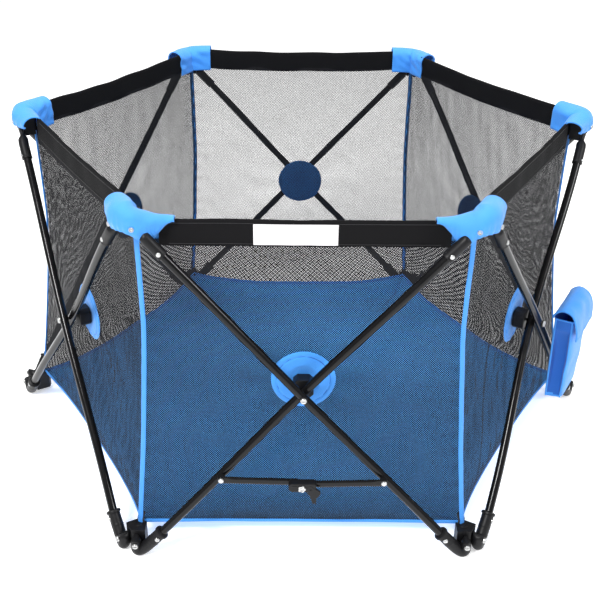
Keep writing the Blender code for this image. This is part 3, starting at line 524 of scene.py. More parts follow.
def net_of(colours):
    """Warp-knit polyester net in black: round holes in slanting rows, which let a third of the light by.

    Its real holes are about 1.5 mm apart; they are drawn coarser so that they show. Two square
    lattices stand half a pitch apart, and a point is in a hole where either centre is near.
    """
    mat, tree, principled, where = shader("warp-knit net", Roughness=0.85, Specular_IOR_Level=0.15)
    pitch = bpy.context.scene.playpen_sizes.net_pitch
    cell = (pitch, pitch, 1.0)
    scaled = add(tree, "VectorMath", {0: where["UV"], 1: [1.0 / c for c in cell]}, operation="MULTIPLY")
    near = []
    for shift in ((0.0, 0.0, 0.0), (0.5, 0.5, 0.0)):
        moved = add(tree, "VectorMath", {0: scaled.outputs[0], 1: shift}, operation="ADD")
        part = add(tree, "VectorMath", {0: moved.outputs[0]}, operation="FRACTION")
        centred = add(tree, "VectorMath", {0: part.outputs[0], 1: (0.5, 0.5, 0.0)},
                      operation="SUBTRACT")
        sized = add(tree, "VectorMath", {0: centred.outputs[0], 1: cell}, operation="MULTIPLY")
        flat = add(tree, "VectorMath", {0: sized.outputs[0], 1: (1.0, 1.0, 0.0)}, operation="MULTIPLY")
        near.append(add(tree, "VectorMath", {0: flat.outputs[0]}, operation="LENGTH").outputs["Value"])
    nearest = add(tree, "Math", {0: near[0], 1: near[1]}, operation="MINIMUM")
    solid = add(tree, "Math", {0: nearest.outputs[0], 1: pitch * 0.265}, operation="GREATER_THAN")
    slub = add(tree, "TexNoise", {"Vector": where["UV"], "Scale": 30.0, "Detail": 4.0})
    tint = add(tree, "Mix", {0: slub.outputs["Fac"], 6: (*colours.yarn, 1.0),
                             7: (*linear("#28282B"), 1.0)}, data_type="RGBA")
    bump = add(tree, "Bump", {"Height": nearest.outputs[0], "Strength": 0.4, "Distance": 0.3})
    wired(tree, principled, Base_Color=tint.outputs[2], Alpha=solid.outputs[0],
          Normal=bump.outputs["Normal"])
    return mat


# The woven finishes: name, colours of the threads on top, with painted light, and of the painted shade between them
# (a setting's name or a hex code), distance between threads, roughness, sheen, and what differs in relief, drift
# and shine
WEAVES = {
    # azure nylon oxford cloth: a visible plain weave with a light sheen
    "cloth": ("azure nylon oxford", "cloth", "cloth_painted_shade", 0.0011, 0.62, 0.25),
    # the same azure cloth, quilted over a thin pad
    "pad": ("azure padded nylon", "cloth", "cloth_painted_shade", 0.0011, 0.66, 0.2),
    # azure polyester binding tape: a tight rib across its width
    "tape": ("azure binding tape", "cloth", "cloth_painted_shade", 0.0008, 0.6, 0.15, 0.5),
    # the pouch's side cloth, in a deeper azure
    "gusset": ("deep azure nylon", "gusset", "#174F9C", 0.0011, 0.66, 0.15),
    # coated azure polyester: a coarse weave whose coating shines a little in its creases
    "floor": ("coated azure polyester", "floor", "floor_painted_shade", 0.0034, 0.55, 0.1, 0.55, 0.45),
    # black coated polyester: a fine weave under a soft film
    "band": ("black coated polyester", "band", "#09090A", 0.0009, 0.8, 0.0, 0.25, 0.25, 0.12),
    # black polypropylene webbing: thick threads with deep gaps between them
    "webbing": ("black webbing", "#242427", "#0B0B0C", 0.0016, 0.7, 0.1, 0.7),
    # white satin ribbon of a sewn label, plain
    "label": ("white satin ribbon", "#F1EEF0", "#DEDADF", 0.0005, 0.5, 0.1, 0.2),
}
FINISHES = {"paint": paint_of, "nylon": nylon_of, "zinc": zinc_of, "net": net_of}
made = {}


def material(finish):
    """The material of a finish, made the first time it is asked for."""
    if finish not in made:
        colours = bpy.context.scene.playpen_colours
        made[finish] = (weave_of(colours, *WEAVES[finish]) if finish in WEAVES
                        else FINISHES[finish](colours))
    return made[finish]


def refinish(node, finish):
    """Gives a node of the frame its material."""
    mesh = frame["nodes"][node].data
    mesh.materials.clear()
    mesh.materials.append(material(finish))


# ---- Frame pieces -------------------------------------------------------------------------------
def tube_depth(u, layer):
    """Distance of a tube's axis from the pen's middle, u metres up it from the crossing.

    A straight lean from the foot plane to the top plane, and a cosine bow that is full at the crossing.
    """
    crossing = CROSS_PLANE - (STACK if layer == "inner" else 0.0)
    lean = STRAIGHT + (TOP_PLANE - FOOT_PLANE) * u / (TOP_REACH + MOUTH_REACH)
    fade = 0.5 + 0.5 * np.cos(np.pi * np.minimum(1.0, np.abs(u) / BOW_REACH))
    return lean + (crossing - STRAIGHT) * fade


def tube_points(k, u, layer):
    """Points on a tube's axis: an inner tube has its foot on the left and its top on the right."""
    return on_panel(k, SIDE[layer] * u * math.cos(SLOPE), tube_depth(u, layer),
                    CROSS_Z + u * math.sin(SLOPE))


def socket_shape(k, layer, radius):
    """Moulded socket on a tube's top, which flattens into the lug that turns on the top hub.

    Its radius across the panel's face goes from the socket's to the lug's by a smooth step, and its
    thickness goes down to the lug's 8 mm.
    """
    u = np.linspace(TOP_REACH - SOCKET_LENGTH, TOP_REACH + 0.0062, 46)
    flat = smooth((u - (TOP_REACH - LUG_LENGTH)) / 0.013)
    lip = 1.0 + 0.07 * bell(u, TOP_REACH - 0.0715, 0.0018)
    path = tube_points(k, u, layer)
    outward = panel_axes(k)[0]
    level = -(path @ outward)
    path = path + np.outer(smooth((u - (TOP_REACH - 0.04)) / 0.02) * (level + TOP_PLANE), outward)
    ends = rounded(u, 0.0022)
    tip = domed(u, TOP_REACH, 0.0066, 0.01)
    across = (radius + (LUG_HALF - radius) * flat) * lip * ends * tip
    out = (radius + (LUG_HALF_T - radius) * flat) * lip * ends
    return sweep(path, across, out, outward, 24)


def elbow_shape(k, layer, radius, collar):
    """Moulded elbow: straight socket, round bend on the ground, and a short arm up to the foot pivot.

    The centre line is straight in the socket and a cubic curve round the bend. The collar is a
    smooth step in the radius, and the underside is flat on the ground.
    """
    cos, sin = math.cos(SLOPE), math.sin(SLOPE)
    mouth = np.array([-MOUTH_REACH * cos, CROSS_Z - MOUTH_REACH * sin])
    down = np.array([-cos, -sin])
    pivot = np.array([-FOOT_HALF, FOOT_Z])
    bend = mouth + down * ELBOW_SOCKET
    pulls = bend + down * 0.030, pivot + np.array([-0.0015, -0.027])
    curve = cubic((bend, *pulls, pivot), np.linspace(0.0, 1.0, 30)[1:])
    straight = mouth + down * np.linspace(0.0, ELBOW_SOCKET, 26)[:, None]
    end = pivot + np.array([0.0005, 0.0095]) * np.linspace(0.0, 1.0, 12)[1:, None]
    line = np.concatenate([straight, curve, end])
    run = run_along(line)
    step = 1.0 - smooth((run - 0.0068) / 0.0016)
    rib = bell(run, 0.030, 0.0012) * 0.0005
    narrow = smooth((run - run[-1] + 0.032) / 0.02)
    ends = rounded(run, 0.0035)
    tip = domed(run, run[-1] - 0.0095, 0.0098, 0.03)
    ends = np.where(run < 0.01, ends, 1.0)
    across = (radius + (collar - radius) * step + rib - 0.0018 * narrow) * ends * tip
    out = (radius + (collar - radius) * step + rib) * ends
    path = on_panel(k, SIDE[layer] * line[:, 0], FOOT_PLANE, line[:, 1])
    points, faces, uv = sweep(path, across, out, panel_axes(k)[0], 28)
    points[:, 2] = np.maximum(points[:, 2], 0.0)
    return points, faces, uv


class PLAYPEN_OT_tubes(bpy.types.Operator):
    """Bends the twelve steel tubes, with their moulded top sockets and rivets"""
    bl_idname = "playpen.tubes"
    bl_label = "Tubes"

    def execute(self, context):
        sizes = context.scene.playpen_sizes
        u = np.linspace(-(MOUTH_REACH + 0.02), TOP_REACH - 0.04, 90)
        for k, panel in enumerate(PANELS):
            axes = panel_axes(k)
            outward = axes[0]
            for layer in SIDE:
                body = f"{layer}_arm_{panel}"
                tube = sweep(tube_points(k, u, layer), sizes.tube_radius, sizes.tube_radius, outward, 24)
                piece = new_piece(f"tube_{layer}_{panel}", tube, body, "paint")
                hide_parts(f"{layer}_tube_{panel}")
                socket = socket_shape(k, layer, sizes.socket_radius)
                new_piece(f"top_socket_{layer}_{panel}", socket, body, "nylon")
                at = tube_points(k, np.array([TOP_REACH - 0.064]), layer)[0]
                rivet = screw(at + outward * (sizes.socket_radius - 0.0006), axes, *HEADS["socket"])
                new_piece(f"socket_rivet_{layer}_{panel}", rivet, body, "zinc")
        return {"FINISHED"}


class PLAYPEN_OT_elbows(bpy.types.Operator):
    """Moulds the twelve elbows that the tubes stand in, with the screws through their sockets"""
    bl_idname = "playpen.elbows"
    bl_label = "Elbows"

    def execute(self, context):
        sizes = context.scene.playpen_sizes
        reach = MOUTH_REACH + ELBOW_SCREW
        for k, panel in enumerate(PANELS):
            axes = panel_axes(k)
            for layer in SIDE:
                body = f"{layer}_arm_{panel}"
                elbow = elbow_shape(k, layer, sizes.elbow_radius, sizes.collar_radius)
                piece = new_piece(f"elbow_{layer}_{panel}", elbow, body, "nylon")
                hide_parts(f"{layer}_foot_{panel}")
                at = on_panel(k, -reach * math.cos(SLOPE) * SIDE[layer],
                              FOOT_PLANE + sizes.elbow_radius - 0.0007, CROSS_Z - reach * math.sin(SLOPE))
                new_piece(f"elbow_screw_{layer}_{panel}", screw(at, axes, *HEADS["elbow"]), body, "zinc")
        return {"FINISHED"}


class PLAYPEN_OT_hubs(bpy.types.Operator):
    """Finishes the foot and top hubs, and adds the pivot screws, the raised ring and the webbing tab"""
    bl_idname = "playpen.hubs"
    bl_label = "Hubs"

    def execute(self, context):
        sizes = context.scene.playpen_sizes
        for j, corner in enumerate(CORNERS):
            body = f"foot_hub_{corner}"
            refinish(body, "nylon")
            refinish(f"top_hub_{corner}", "nylon")
            face = FOOT_PLANE + sizes.elbow_radius
            screws = []
            for k, along in ((j, -FOOT_HALF), ((j - 1) % 6, FOOT_HALF)):
                at = on_panel(k, along, face + 0.0006, FOOT_Z)
                screws.append(screw(at, panel_axes(k), *HEADS["pivot"]))
            new_piece(f"pivot_screws_{corner}", joined(screws), body, "zinc")
            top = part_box(body)[1].z
            out = in_corner(j, 1.0, 0.0, 0.0)
            round_way = in_corner(j, 0.0, 1.0, 0.0)
            ring = turned_shape(in_corner(j, FOOT_CORNER - 0.004, 0.0, top), (UP, out, round_way),
                                [0.0, 0.0030, 0.0036, 0.0060, 0.0066, 0.0084, 0.0090, 0.0090, 0.0],
                                [0.0003, 0.0003, -0.0006, -0.0006, 0.0012, 0.0012, 0.0005, -0.001, -0.001])
            new_piece(f"hub_ring_{corner}", ring, body, "nylon")
            t = np.linspace(0.0, 1.0, 22)
            path = in_corner(j, FOOT_CORNER - 0.012 - 0.006 * t + 0.004 * np.sin(np.pi * t), 0.0,
                             top - 0.004 + 0.024 * t)
            tab = sweep(path, 0.0085 - 0.002 * t, 0.0014, out, 20, 0.45)
            new_piece(f"hub_tab_{corner}", tab, body, "webbing")
        return {"FINISHED"}


class PLAYPEN_OT_crossings(bpy.types.Operator):
    """Finishes the spacer blocks, and adds the screw where the tubes of a panel cross"""
    bl_idname = "playpen.crossings"
    bl_label = "Crossings"

    def execute(self, context):
        radius = context.scene.playpen_sizes.tube_radius
        for k, panel in enumerate(PANELS):
            refinish(f"crossing_block_{panel}", "nylon")
            axes = panel_axes(k)
            seat = on_panel(k, 0.0, CROSS_PLANE + radius, CROSS_Z)
            washer = turned_shape(seat, axes, [0.0, 0.0064, 0.0070, 0.0072, 0.0070, 0.0],
                                  [0.0010, 0.0010, 0.0008, 0.0002, -0.0016, -0.0016])
            new_piece(f"crossing_washer_{panel}", washer, f"crossing_{panel}", "nylon")
            head = screw(seat + axes[0] * 0.0010, axes, *HEADS["crossing"])
            new_piece(f"crossing_screw_{panel}", head, f"crossing_{panel}", "zinc")
        return {"FINISHED"}


# ---- Brace --------------------------------------------------------------------------------------
def brace_link(start, end, depth, flat_start):
    """A rolled link between two places in the front panel.

    It is an upright oval tube, whose end is pressed flat round its rivet by a smooth step.
    """
    t = np.linspace(0.0, 1.0, 60)[:, None]
    step = np.subtract(end, start)
    line = start + step * t
    run = t[:, 0] * float(np.linalg.norm(step))
    pressed = 1.0 - smooth((run - flat_start) / 0.014)
    ends = rounded(run, 0.0062)
    high = (0.0066 + 0.0006 * pressed) * ends
    deep = (0.0036 - 0.0012 * pressed) * np.maximum(ends, 0.5)
    path = on_panel(0, line[:, 0], depth, line[:, 1])
    return sweep(path, high, deep, panel_axes(0)[0], 26, 0.8)


class PLAYPEN_OT_brace(bpy.types.Operator):
    """Makes the locking brace of the front panel: two links, the hinge housing, its screw and rivets"""
    bl_idname = "playpen.brace"
    bl_label = "Locking brace"

    def execute(self, context):
        low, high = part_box("brace_link_left")
        middle_z = min((low.z + high.z) / 2.0, JOINTS["brace_rivet_left"][2]) - 0.002
        axes = panel_axes(0)
        rear = -low.y - 0.0017 - 0.0025
        front = rear + 0.0056
        face = -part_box("brace_link_right")[0].y - 0.0017 - 0.0012
        for side, way, depth, reach, foot in (("left", -1.0, rear, -0.004, -0.0245),
                                              ("right", 1.0, front, 0.014, -0.0125)):
            body, pin = f"brace_{side}", JOINTS[f"brace_rivet_{side}"]
            link = brace_link((pin[0] + way * 0.0068, pin[2]), (reach, middle_z), depth, 0.016)
            at = on_panel(0, pin[0], depth + 0.0022, pin[2])
            boss = turned_shape(at, axes, [0.0, 0.0052, 0.0062, 0.0066, 0.0066, 0.0],
                                [-0.003, -0.003, -0.0035, -0.006, foot, foot])
            piece = new_piece(f"brace_bar_{side}", link, body, "paint")
            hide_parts(f"brace_link_{side}")
            new_piece(f"brace_boss_{side}", boss, body, "nylon")
            rivet = screw(at, axes, *HEADS["brace"])
            new_piece(f"brace_rivet_{side}", rivet, body, "zinc")
        half, tall, cut = 0.0245, 0.0088, 0.006
        z = middle_z + 0.0005
        outline = [(-half, z - tall + cut), (-half + cut, z - tall), (half - 0.002, z - tall),
                   (half, z - tall + 0.002), (half, z + tall - 0.003), (half - 0.004, z + tall),
                   (-half + 0.004, z + tall), (-half, z + tall - 0.003)]
        housing = soften(new_piece("brace_housing", prism(0, outline, front - 0.0028, face), "brace_right",
                                   "nylon"), 0.0012, 3)
        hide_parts("brace_link_right")
        spot = on_panel(0, -0.001, face, z - 0.001)
        a = np.linspace(0.0, np.pi / 2.0, 7)
        radii = np.concatenate([[0.0, 0.002, 0.003], 0.0042 + 0.0022 * np.sin(a), [0.0064, 0.0]])
        rise = np.concatenate([[0.0016, 0.0016, 0.0024], 0.0018 + 0.0012 * np.cos(a), [-0.0008, -0.0008]])
        lobed = turned_shape(spot, axes, radii, rise, 40, 0.0, 5)
        new_piece("brace_screw", lobed, "brace_right", "zinc")
        rib = [(-0.020, z + 0.0030), (-0.009, z + 0.0030), (-0.009, z + 0.0048), (-0.020, z + 0.0048)]
        soften(new_piece("housing_rib", prism(0, rib, face - 0.001, face + 0.0008), "brace_right", "nylon"), 0.0004)
        refinish("brace_latch", "nylon")
        return {"FINISHED"}


# ---- Cloth --------------------------------------------------------------------------------------
def band_height(k, x):
    """Height of the band's middle: it hangs a little between the caps, as a parabola."""
    return BAND_MID[PANELS[k]] + BAND_SAG[PANELS[k]] * (x / BAND_END) ** 2


def hem(k, s):
    """Place along the panel, depth and height of the lower edge; s runs from -1 to 1.

    The edge is highest and furthest out at the foot hubs and waves a little between them.
    """
    rise = np.abs(s) ** 3.0
    depth = HEM_MID[0] + (HEM_CORNER[0] - HEM_MID[0]) * rise
    wave = 0.0022 * ripple(s * 0.30, 0.05 * k, 40 + k, 0.14) * (1.0 - rise)
    height = HEM_MID[1] + (HEM_CORNER[1] - HEM_MID[1]) * rise + wave
    half = seam_radius(HEM_CORNER[1]) / 2.0 - SEAM_GAP
    return s * half, depth + 0.6 * wave, height


def net_points(k):
    """The hung net of a panel.

    Each row runs from seam to seam. Its depth is the seams' own, let in at the hem, drawn out to the
    crossing block over a round patch by a smooth step, with creases that start at the seams, the disc
    and the lower corners.
    """
    s, t = np.meshgrid(np.linspace(-1.0, 1.0, 97), np.linspace(0.0, 1.0, 97))
    _, low_depth, low = hem(k, s)
    high = band_height(k, s * BAND_END) - 0.014
    z = low + (high - low) * t
    radius = seam_radius(z)
    x = s * (radius / 2.0 - SEAM_GAP)
    seam_depth = radius * COS30
    fall = np.exp(-((z - low) / 0.055))
    depth = seam_depth + (low_depth - seam_depth) * fall
    away = np.hypot(x, z - CROSS_Z)
    pull = 1.0 - smooth((away - 0.05) / 0.21)
    creased = 0.0016 * ripple(x, z, 7 + k, 0.12) + 0.0011 * ripple(x * 3.0, z, 17 + k, 0.09)
    spokes = np.sin(9.0 * np.arctan2(z - CROSS_Z, x) + k) * 0.0012 * bell(away, 0.09, 0.04)
    gathers = 0.0013 * np.sin(z * 190.0 + 2.0 * k) * np.exp(-(1.0 - np.abs(s)) / 0.06)
    edge = smooth((1.0 - np.abs(s)) / 0.10) * smooth(t / 0.06) * smooth((1.0 - t) / 0.05)
    flat = smooth((away - 0.045) / 0.03)
    depth = depth + (NET_CENTRE - 0.0085 - depth) * pull
    depth = depth + (creased * edge + spokes + gathers * smooth(t / 0.1) * smooth((1 - t) / 0.1)) * flat
    return on_panel(k, x, depth, z)


class PLAYPEN_OT_nets(bpy.types.Operator):
    """Hangs the six net walls"""
    bl_idname = "playpen.nets"
    bl_label = "Net walls"

    def execute(self, context):
        for k, panel in enumerate(PANELS):
            points = net_points(k)
            net = new_piece(f"net_wall_{panel}", grid(points), f"top_corner_{CORNERS[k]}", "net",
                            closed=False)
            # the yarn is in scale with the coarser holes: they close up in a slanting view
            thicken(net, THICKNESS["net"], rim=False)
            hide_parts(f"net_{panel}")
            crumple(net, k)
        return {"FINISHED"}


class PLAYPEN_OT_bands(bpy.types.Operator):
    """Sews the black sleeve that runs round the top between the corner caps, and the plain label"""
    bl_idname = "playpen.bands"
    bl_label = "Top bands"

    def execute(self, context):
        half = context.scene.playpen_sizes.band_height / 2.0
        for k, panel in enumerate(PANELS):
            x = np.linspace(-BAND_END, BAND_END, 120)
            loose = ripple(x, 0.0, 60 + k, 0.16)
            path = on_panel(k, x, BAND_DEPTH + 0.0012 * loose, band_height(k, x) + 0.0012 * loose)
            outward = panel_axes(k)[0]
            thick = BAND_HALF_T * (1.0 + 0.25 * ripple(x, 0.0, 80 + k, 0.07))
            tall = half * (1.0 + 0.03 * ripple(x, 0.0, 90 + k, 0.11))
            shape = sweep(path, tall, thick, outward, 40, 0.55)
            band = new_piece(f"top_band_{panel}", shape, f"top_corner_{CORNERS[k]}", "band",
                             sharp=70.0)
            crumple(band, k)
            for name, drop in (("upper", half - 0.006), ("lower", -half + 0.005)):
                line = path + UP * drop + outward * (BAND_HALF_T * 0.93)
                cord = sweep(line[4:-4], 0.0006, 0.0005, outward, 8)
                stitch = new_piece(f"band_stitch_{name}_{panel}", cord, f"top_corner_{CORNERS[k]}",
                                   "webbing")
                crumple(stitch, k)
        x, t = np.meshgrid(np.linspace(LABEL_LEFT, LABEL_RIGHT, 40),
                           np.linspace(-LABEL_HALF, LABEL_HALF, 14))
        bow = 0.0007 * ripple(x, t, 5, 0.06) + 0.0006 * (np.abs(t) / LABEL_HALF) ** 6
        points = on_panel(0, x, BAND_DEPTH + BAND_HALF_T + 0.0012 + bow, band_height(0, x) - 0.001 + t)
        label = new_piece("front_label", grid(points), "top_corner_front_left", "label",
                          closed=False)
        thicken(label, THICKNESS["label"])
        crumple(label, 0)
        return {"FINISHED"}


def cap_points(j):
    """A corner cap: one saddle of cloth over the top hub.

    Columns run round the corner. Rows go up the inner face, over the crest on half an ellipse, and
    down the outer face. The crest is high at the corner and comes down to the bands by a
    smooth step, and the outer edge rises on a slant towards the bands.
    """
    left, right = CAP_WINGS.get(j, CAP_PLAIN)
    s = np.linspace(-left, right, 101)
    part = np.where(s > 0, s / right, -s / left)
    slant = {0: s > 0, 1: s < 0}.get(j, s != s)
    own, before = PANELS[j], PANELS[j - 1]
    ends = np.where(s > 0, BAND_MID[own] + BAND_SAG[own], BAND_MID[before] + BAND_SAG[before])
    middle = ends[0] + (ends[-1] - ends[0]) * smooth(0.5 + 0.5 * np.sign(s) * part)
    half = bpy.context.scene.playpen_sizes.band_height / 2.0
    peak, lowest = CAP_PEAK[CORNERS[j]], CAP_LOWEST[CORNERS[j]]
    crest = ends + half + 0.0045
    crest = crest + (peak - crest) * (1.0 - part) ** 1.8 * np.cos(0.35 * part)
    crest = np.convolve(np.pad(crest, 4, "edge"), np.ones(9) / 9.0, "valid")
    inner_low = middle - half - 0.0035
    inner = CAP_INNER + 0.0 * s
    outer_end = np.where(slant, 0.4885, 0.5120)
    outer = CAP_OUTER + (outer_end - CAP_OUTER) * smooth((part - 0.12) / 0.88)
    tip = CAP_TIP + (crest - 0.006 - CAP_TIP) * smooth((part - 0.45) / 0.55) ** 0.8
    down_to_tip = lowest + (CAP_TIP - lowest) * smooth(part / 0.45) ** 1.3
    plain = lowest + 0.35 * (crest - 0.012 - lowest) * smooth((part - 0.80) / 0.20)
    low = np.where(slant, np.where(part < 0.45, down_to_tip, tip), plain)
    low = np.minimum(low, crest - 0.006)
    a = (outer - inner) / 2.0
    b = np.minimum(0.85 * a, 0.75 * (crest - low))
    base = crest - b
    up = np.linspace(0.0, 1.0, 12)[:-1, None]
    arc = np.linspace(np.pi, 0.0, 22)[:, None]
    down = np.linspace(0.0, 1.0, 15)[1:, None]
    depth = np.concatenate([inner + 0.0 * up, (inner + outer) / 2.0 + a * np.cos(arc),
                            outer - 0.0035 * down ** 2])
    z = np.concatenate([inner_low + (base - inner_low) * up, base + b * np.sin(arc),
                        base - (base - low) * down])
    row = np.linspace(0.0, 1.0, len(z))[:, None]
    stitch = bell(row, 0.955, 0.012) + bell(row, 0.035, 0.012)
    puff = 0.0024 * ripple(s * np.ones_like(z), z, 100 + j, 0.024) * smooth(row / 0.1) - 0.0008 * stitch
    pucker = 0.0009 * np.sin(s * 700.0 + 3.0 * np.sin(s * 160.0 + j)) * smooth((row - 0.55) / 0.45)
    return round_corner(j, s * np.ones_like(z), depth + puff + pucker, z)


class PLAYPEN_OT_caps(bpy.types.Operator):
    """Drapes the six azure corner caps, with their two snaps"""
    bl_idname = "playpen.caps"
    bl_label = "Corner caps"

    def execute(self, context):
        radius = context.scene.playpen_sizes.snap_radius
        radii = np.array([0.0, 0.30, 0.55, 0.62, 0.72, 0.90, 1.0, 1.0, 0.0]) * radius
        rise = [0.0016, 0.0016, 0.0013, 0.0009, 0.0024, 0.0024, 0.0015, 0.0, 0.0]
        for j, corner in enumerate(CORNERS):
            points = cap_points(j)
            body = f"top_corner_{corner}"
            cap = new_piece(f"corner_cap_{corner}", grid(points), body, "cloth", closed=False,
                            sharp=80.0)
            thicken(cap, THICKNESS["cap"])
            snaps = []
            for s in (-SNAP_SIDE, SNAP_SIDE):
                turn = float(np.clip(s / BEND_R, -HALF_TURN, HALF_TURN))
                out = in_corner(j, math.cos(turn), math.sin(turn), 0.0)
                round_way = in_corner(j, -math.sin(turn), math.cos(turn), 0.0)
                at = round_corner(j, s, 0.5208, CAP_LOWEST[corner] + 0.0065)
                snaps.append(turned_shape(at, (out, round_way, UP), radii, rise, 24))
            buttons = new_piece(f"cap_snaps_{corner}", joined(snaps), body, "zinc")
            hub = in_corner(j, 2.0 * TOP_HALF, 0.0, TOP_Z)
            for piece in (cap, buttons):
                draw_in(piece, in_corner(j, 0.0, 1.0, 0.0), hub)
        return {"FINISHED"}


class PLAYPEN_OT_seams(bpy.types.Operator):
    """Runs a folded tape down each corner seam"""
    bl_idname = "playpen.seams"
    bl_label = "Seam tapes"

    def execute(self, context):
        half = context.scene.playpen_sizes.seam_width / 2.0
        for j, corner in enumerate(CORNERS):
            top = min(BAND_MID[PANELS[j]], BAND_MID[PANELS[j - 1]]) - 0.010
            z = np.linspace(0.046, top, 150)
            sway = 0.0012 * ripple(z, 0.0, 30 + j, 0.16)
            path = in_corner(j, seam_radius(z) + 0.0026, sway, z)
            out = in_corner(j, 1.0, 0.0, 0.0)
            wide = half * (1.0 + 0.05 * ripple(z, 0.0, 35 + j, 0.05))
            tape = new_piece(f"seam_tape_{corner}", sweep(path, wide, 0.0017, out, 24, 0.75),
                             f"top_corner_{corner}", "tape")
        return {"FINISHED"}


class PLAYPEN_OT_discs(bpy.types.Operator):
    """Sews the padded discs behind the crossings, with their ring of stitches"""
    bl_idname = "playpen.discs"
    bl_label = "Padded discs"

    def execute(self, context):
        radius = context.scene.playpen_sizes.disc_radius
        share = np.concatenate([np.linspace(0.0, 1.0, 40), np.linspace(1.0, 0.0, 40)[1:]])
        face = np.where(np.arange(len(share)) < 40, 1.0, -1.0)[:, None]
        angle = np.linspace(0.0, 2.0 * np.pi, 96, endpoint=False)
        r = share[:, None] * radius * (1.0 + 0.006 * np.sin(5.0 * angle + 1.0))
        x, y = r * np.cos(angle), r * np.sin(angle)
        part = share[:, None]
        ring = bell(part, DISC_RING, 0.022)
        puff = 0.0040 * np.sqrt(np.clip(1.0 - part ** 2, 0.0, 1.0)) ** 0.8
        pressed = 1.0 - smooth((r - 0.019) / 0.014)
        level = NET_CENTRE - 0.0030
        turn = np.linspace(0.0, 2.0 * np.pi, 120)
        for k, panel in enumerate(PANELS):
            dimples = 0.0010 * ripple(x, y, 120 + k, 0.035) + 0.0006 * np.sin(14.0 * angle) * part ** 4
            rise = puff * (1.0 - 0.75 * pressed) - 0.0016 * ring + dimples * (1.0 - pressed) * (part < 0.999)
            depth = level + face * np.maximum(rise, 0.0005 * (part < 0.999)) * np.where(face > 0, 1.0, 0.6)
            depth = np.where(pressed > 0.5, np.minimum(depth, NET_CENTRE - 0.0002), depth)
            shape = grid(on_panel(k, x, depth, DISC_Z + y), loop=True)
            disc = new_piece(f"disc_{panel}", shape, f"crossing_{panel}", "pad", sharp=80.0)
            thread = on_panel(k, DISC_RING * radius * np.cos(turn), level + 0.0006,
                              DISC_Z + DISC_RING * radius * np.sin(turn))
            outward, along, _ = panel_axes(k)
            stitches = new_piece(f"disc_stitches_{panel}", sweep(thread, 0.0009, 0.0009, outward, 10),
                                 f"crossing_{panel}", "gusset")
            for piece in (disc, stitches):
                draw_in(piece, along, on_panel(k, 0.0, level, CROSS_Z))
        return {"FINISHED"}


class PLAYPEN_OT_floor(bpy.types.Operator):
    """Lays the floor cloth as six gores that meet along the corners' radii"""
    bl_idname = "playpen.floor"
    bl_label = "Floor cloth"

    def execute(self, context):
        for k, panel in enumerate(PANELS):
            s, q = np.meshgrid(np.linspace(-1.0, 1.0, 81), np.linspace(0.004, 1.0, 91))
            x, depth, height = hem(k, s)
            edge = on_panel(k, x, depth - 0.0008, height)
            points = edge * np.stack([q, q, 0.0 * q + 1.0], axis=-1)
            rise = smooth((q - 0.86) / 0.14) ** 1.4
            folds = (0.0034 * (0.5 + 0.5 * ripple(points[..., 0], points[..., 1], 3, 0.26))
                     + 0.0022 * (0.5 + 0.5 * ripple(points[..., 0], points[..., 1] * 1.6, 9, 0.11)))
            points[..., 2] = FLOOR_Z + (height - 0.002 - FLOOR_Z) * rise + folds * (1.0 - rise)
            floor = new_piece(f"floor_{panel}", grid(points), f"floor_{panel}", "floor",
                              closed=False, sharp=80.0)
            lay_out(floor.data, points.reshape(-1, 3)[:, :2])
            thicken(floor, THICKNESS["floor"])
            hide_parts(f"floor_gore_{panel}")
            crumple(floor, k)
            path = on_panel(k, *hem(k, np.linspace(-1.0, 1.0, 140)))
            half = context.scene.playpen_sizes.hem_height / 2.0
            piping = new_piece(f"hem_piping_{panel}", sweep(path, half, 0.0024, panel_axes(k)[0], 18, 0.8),
                               f"top_corner_{CORNERS[k]}", "tape")
            crumple(piping, k)
        return {"FINISHED"}


# ---- Pouch --------------------------------------------------------------------------------------
POUCH_PANEL = 1


def pouch_box():
    """Along, depth and height ranges of the pouch in its panel, from the frame."""
    co = np.array([v.co for v in frame["nodes"]["storage_pouch"].data.vertices])
    local = turned(co, -SIXTH * POUCH_PANEL)
    low, high = local.min(axis=0), local.max(axis=0)
    return low[0], high[0], -high[1], -low[1], low[2], high[2]


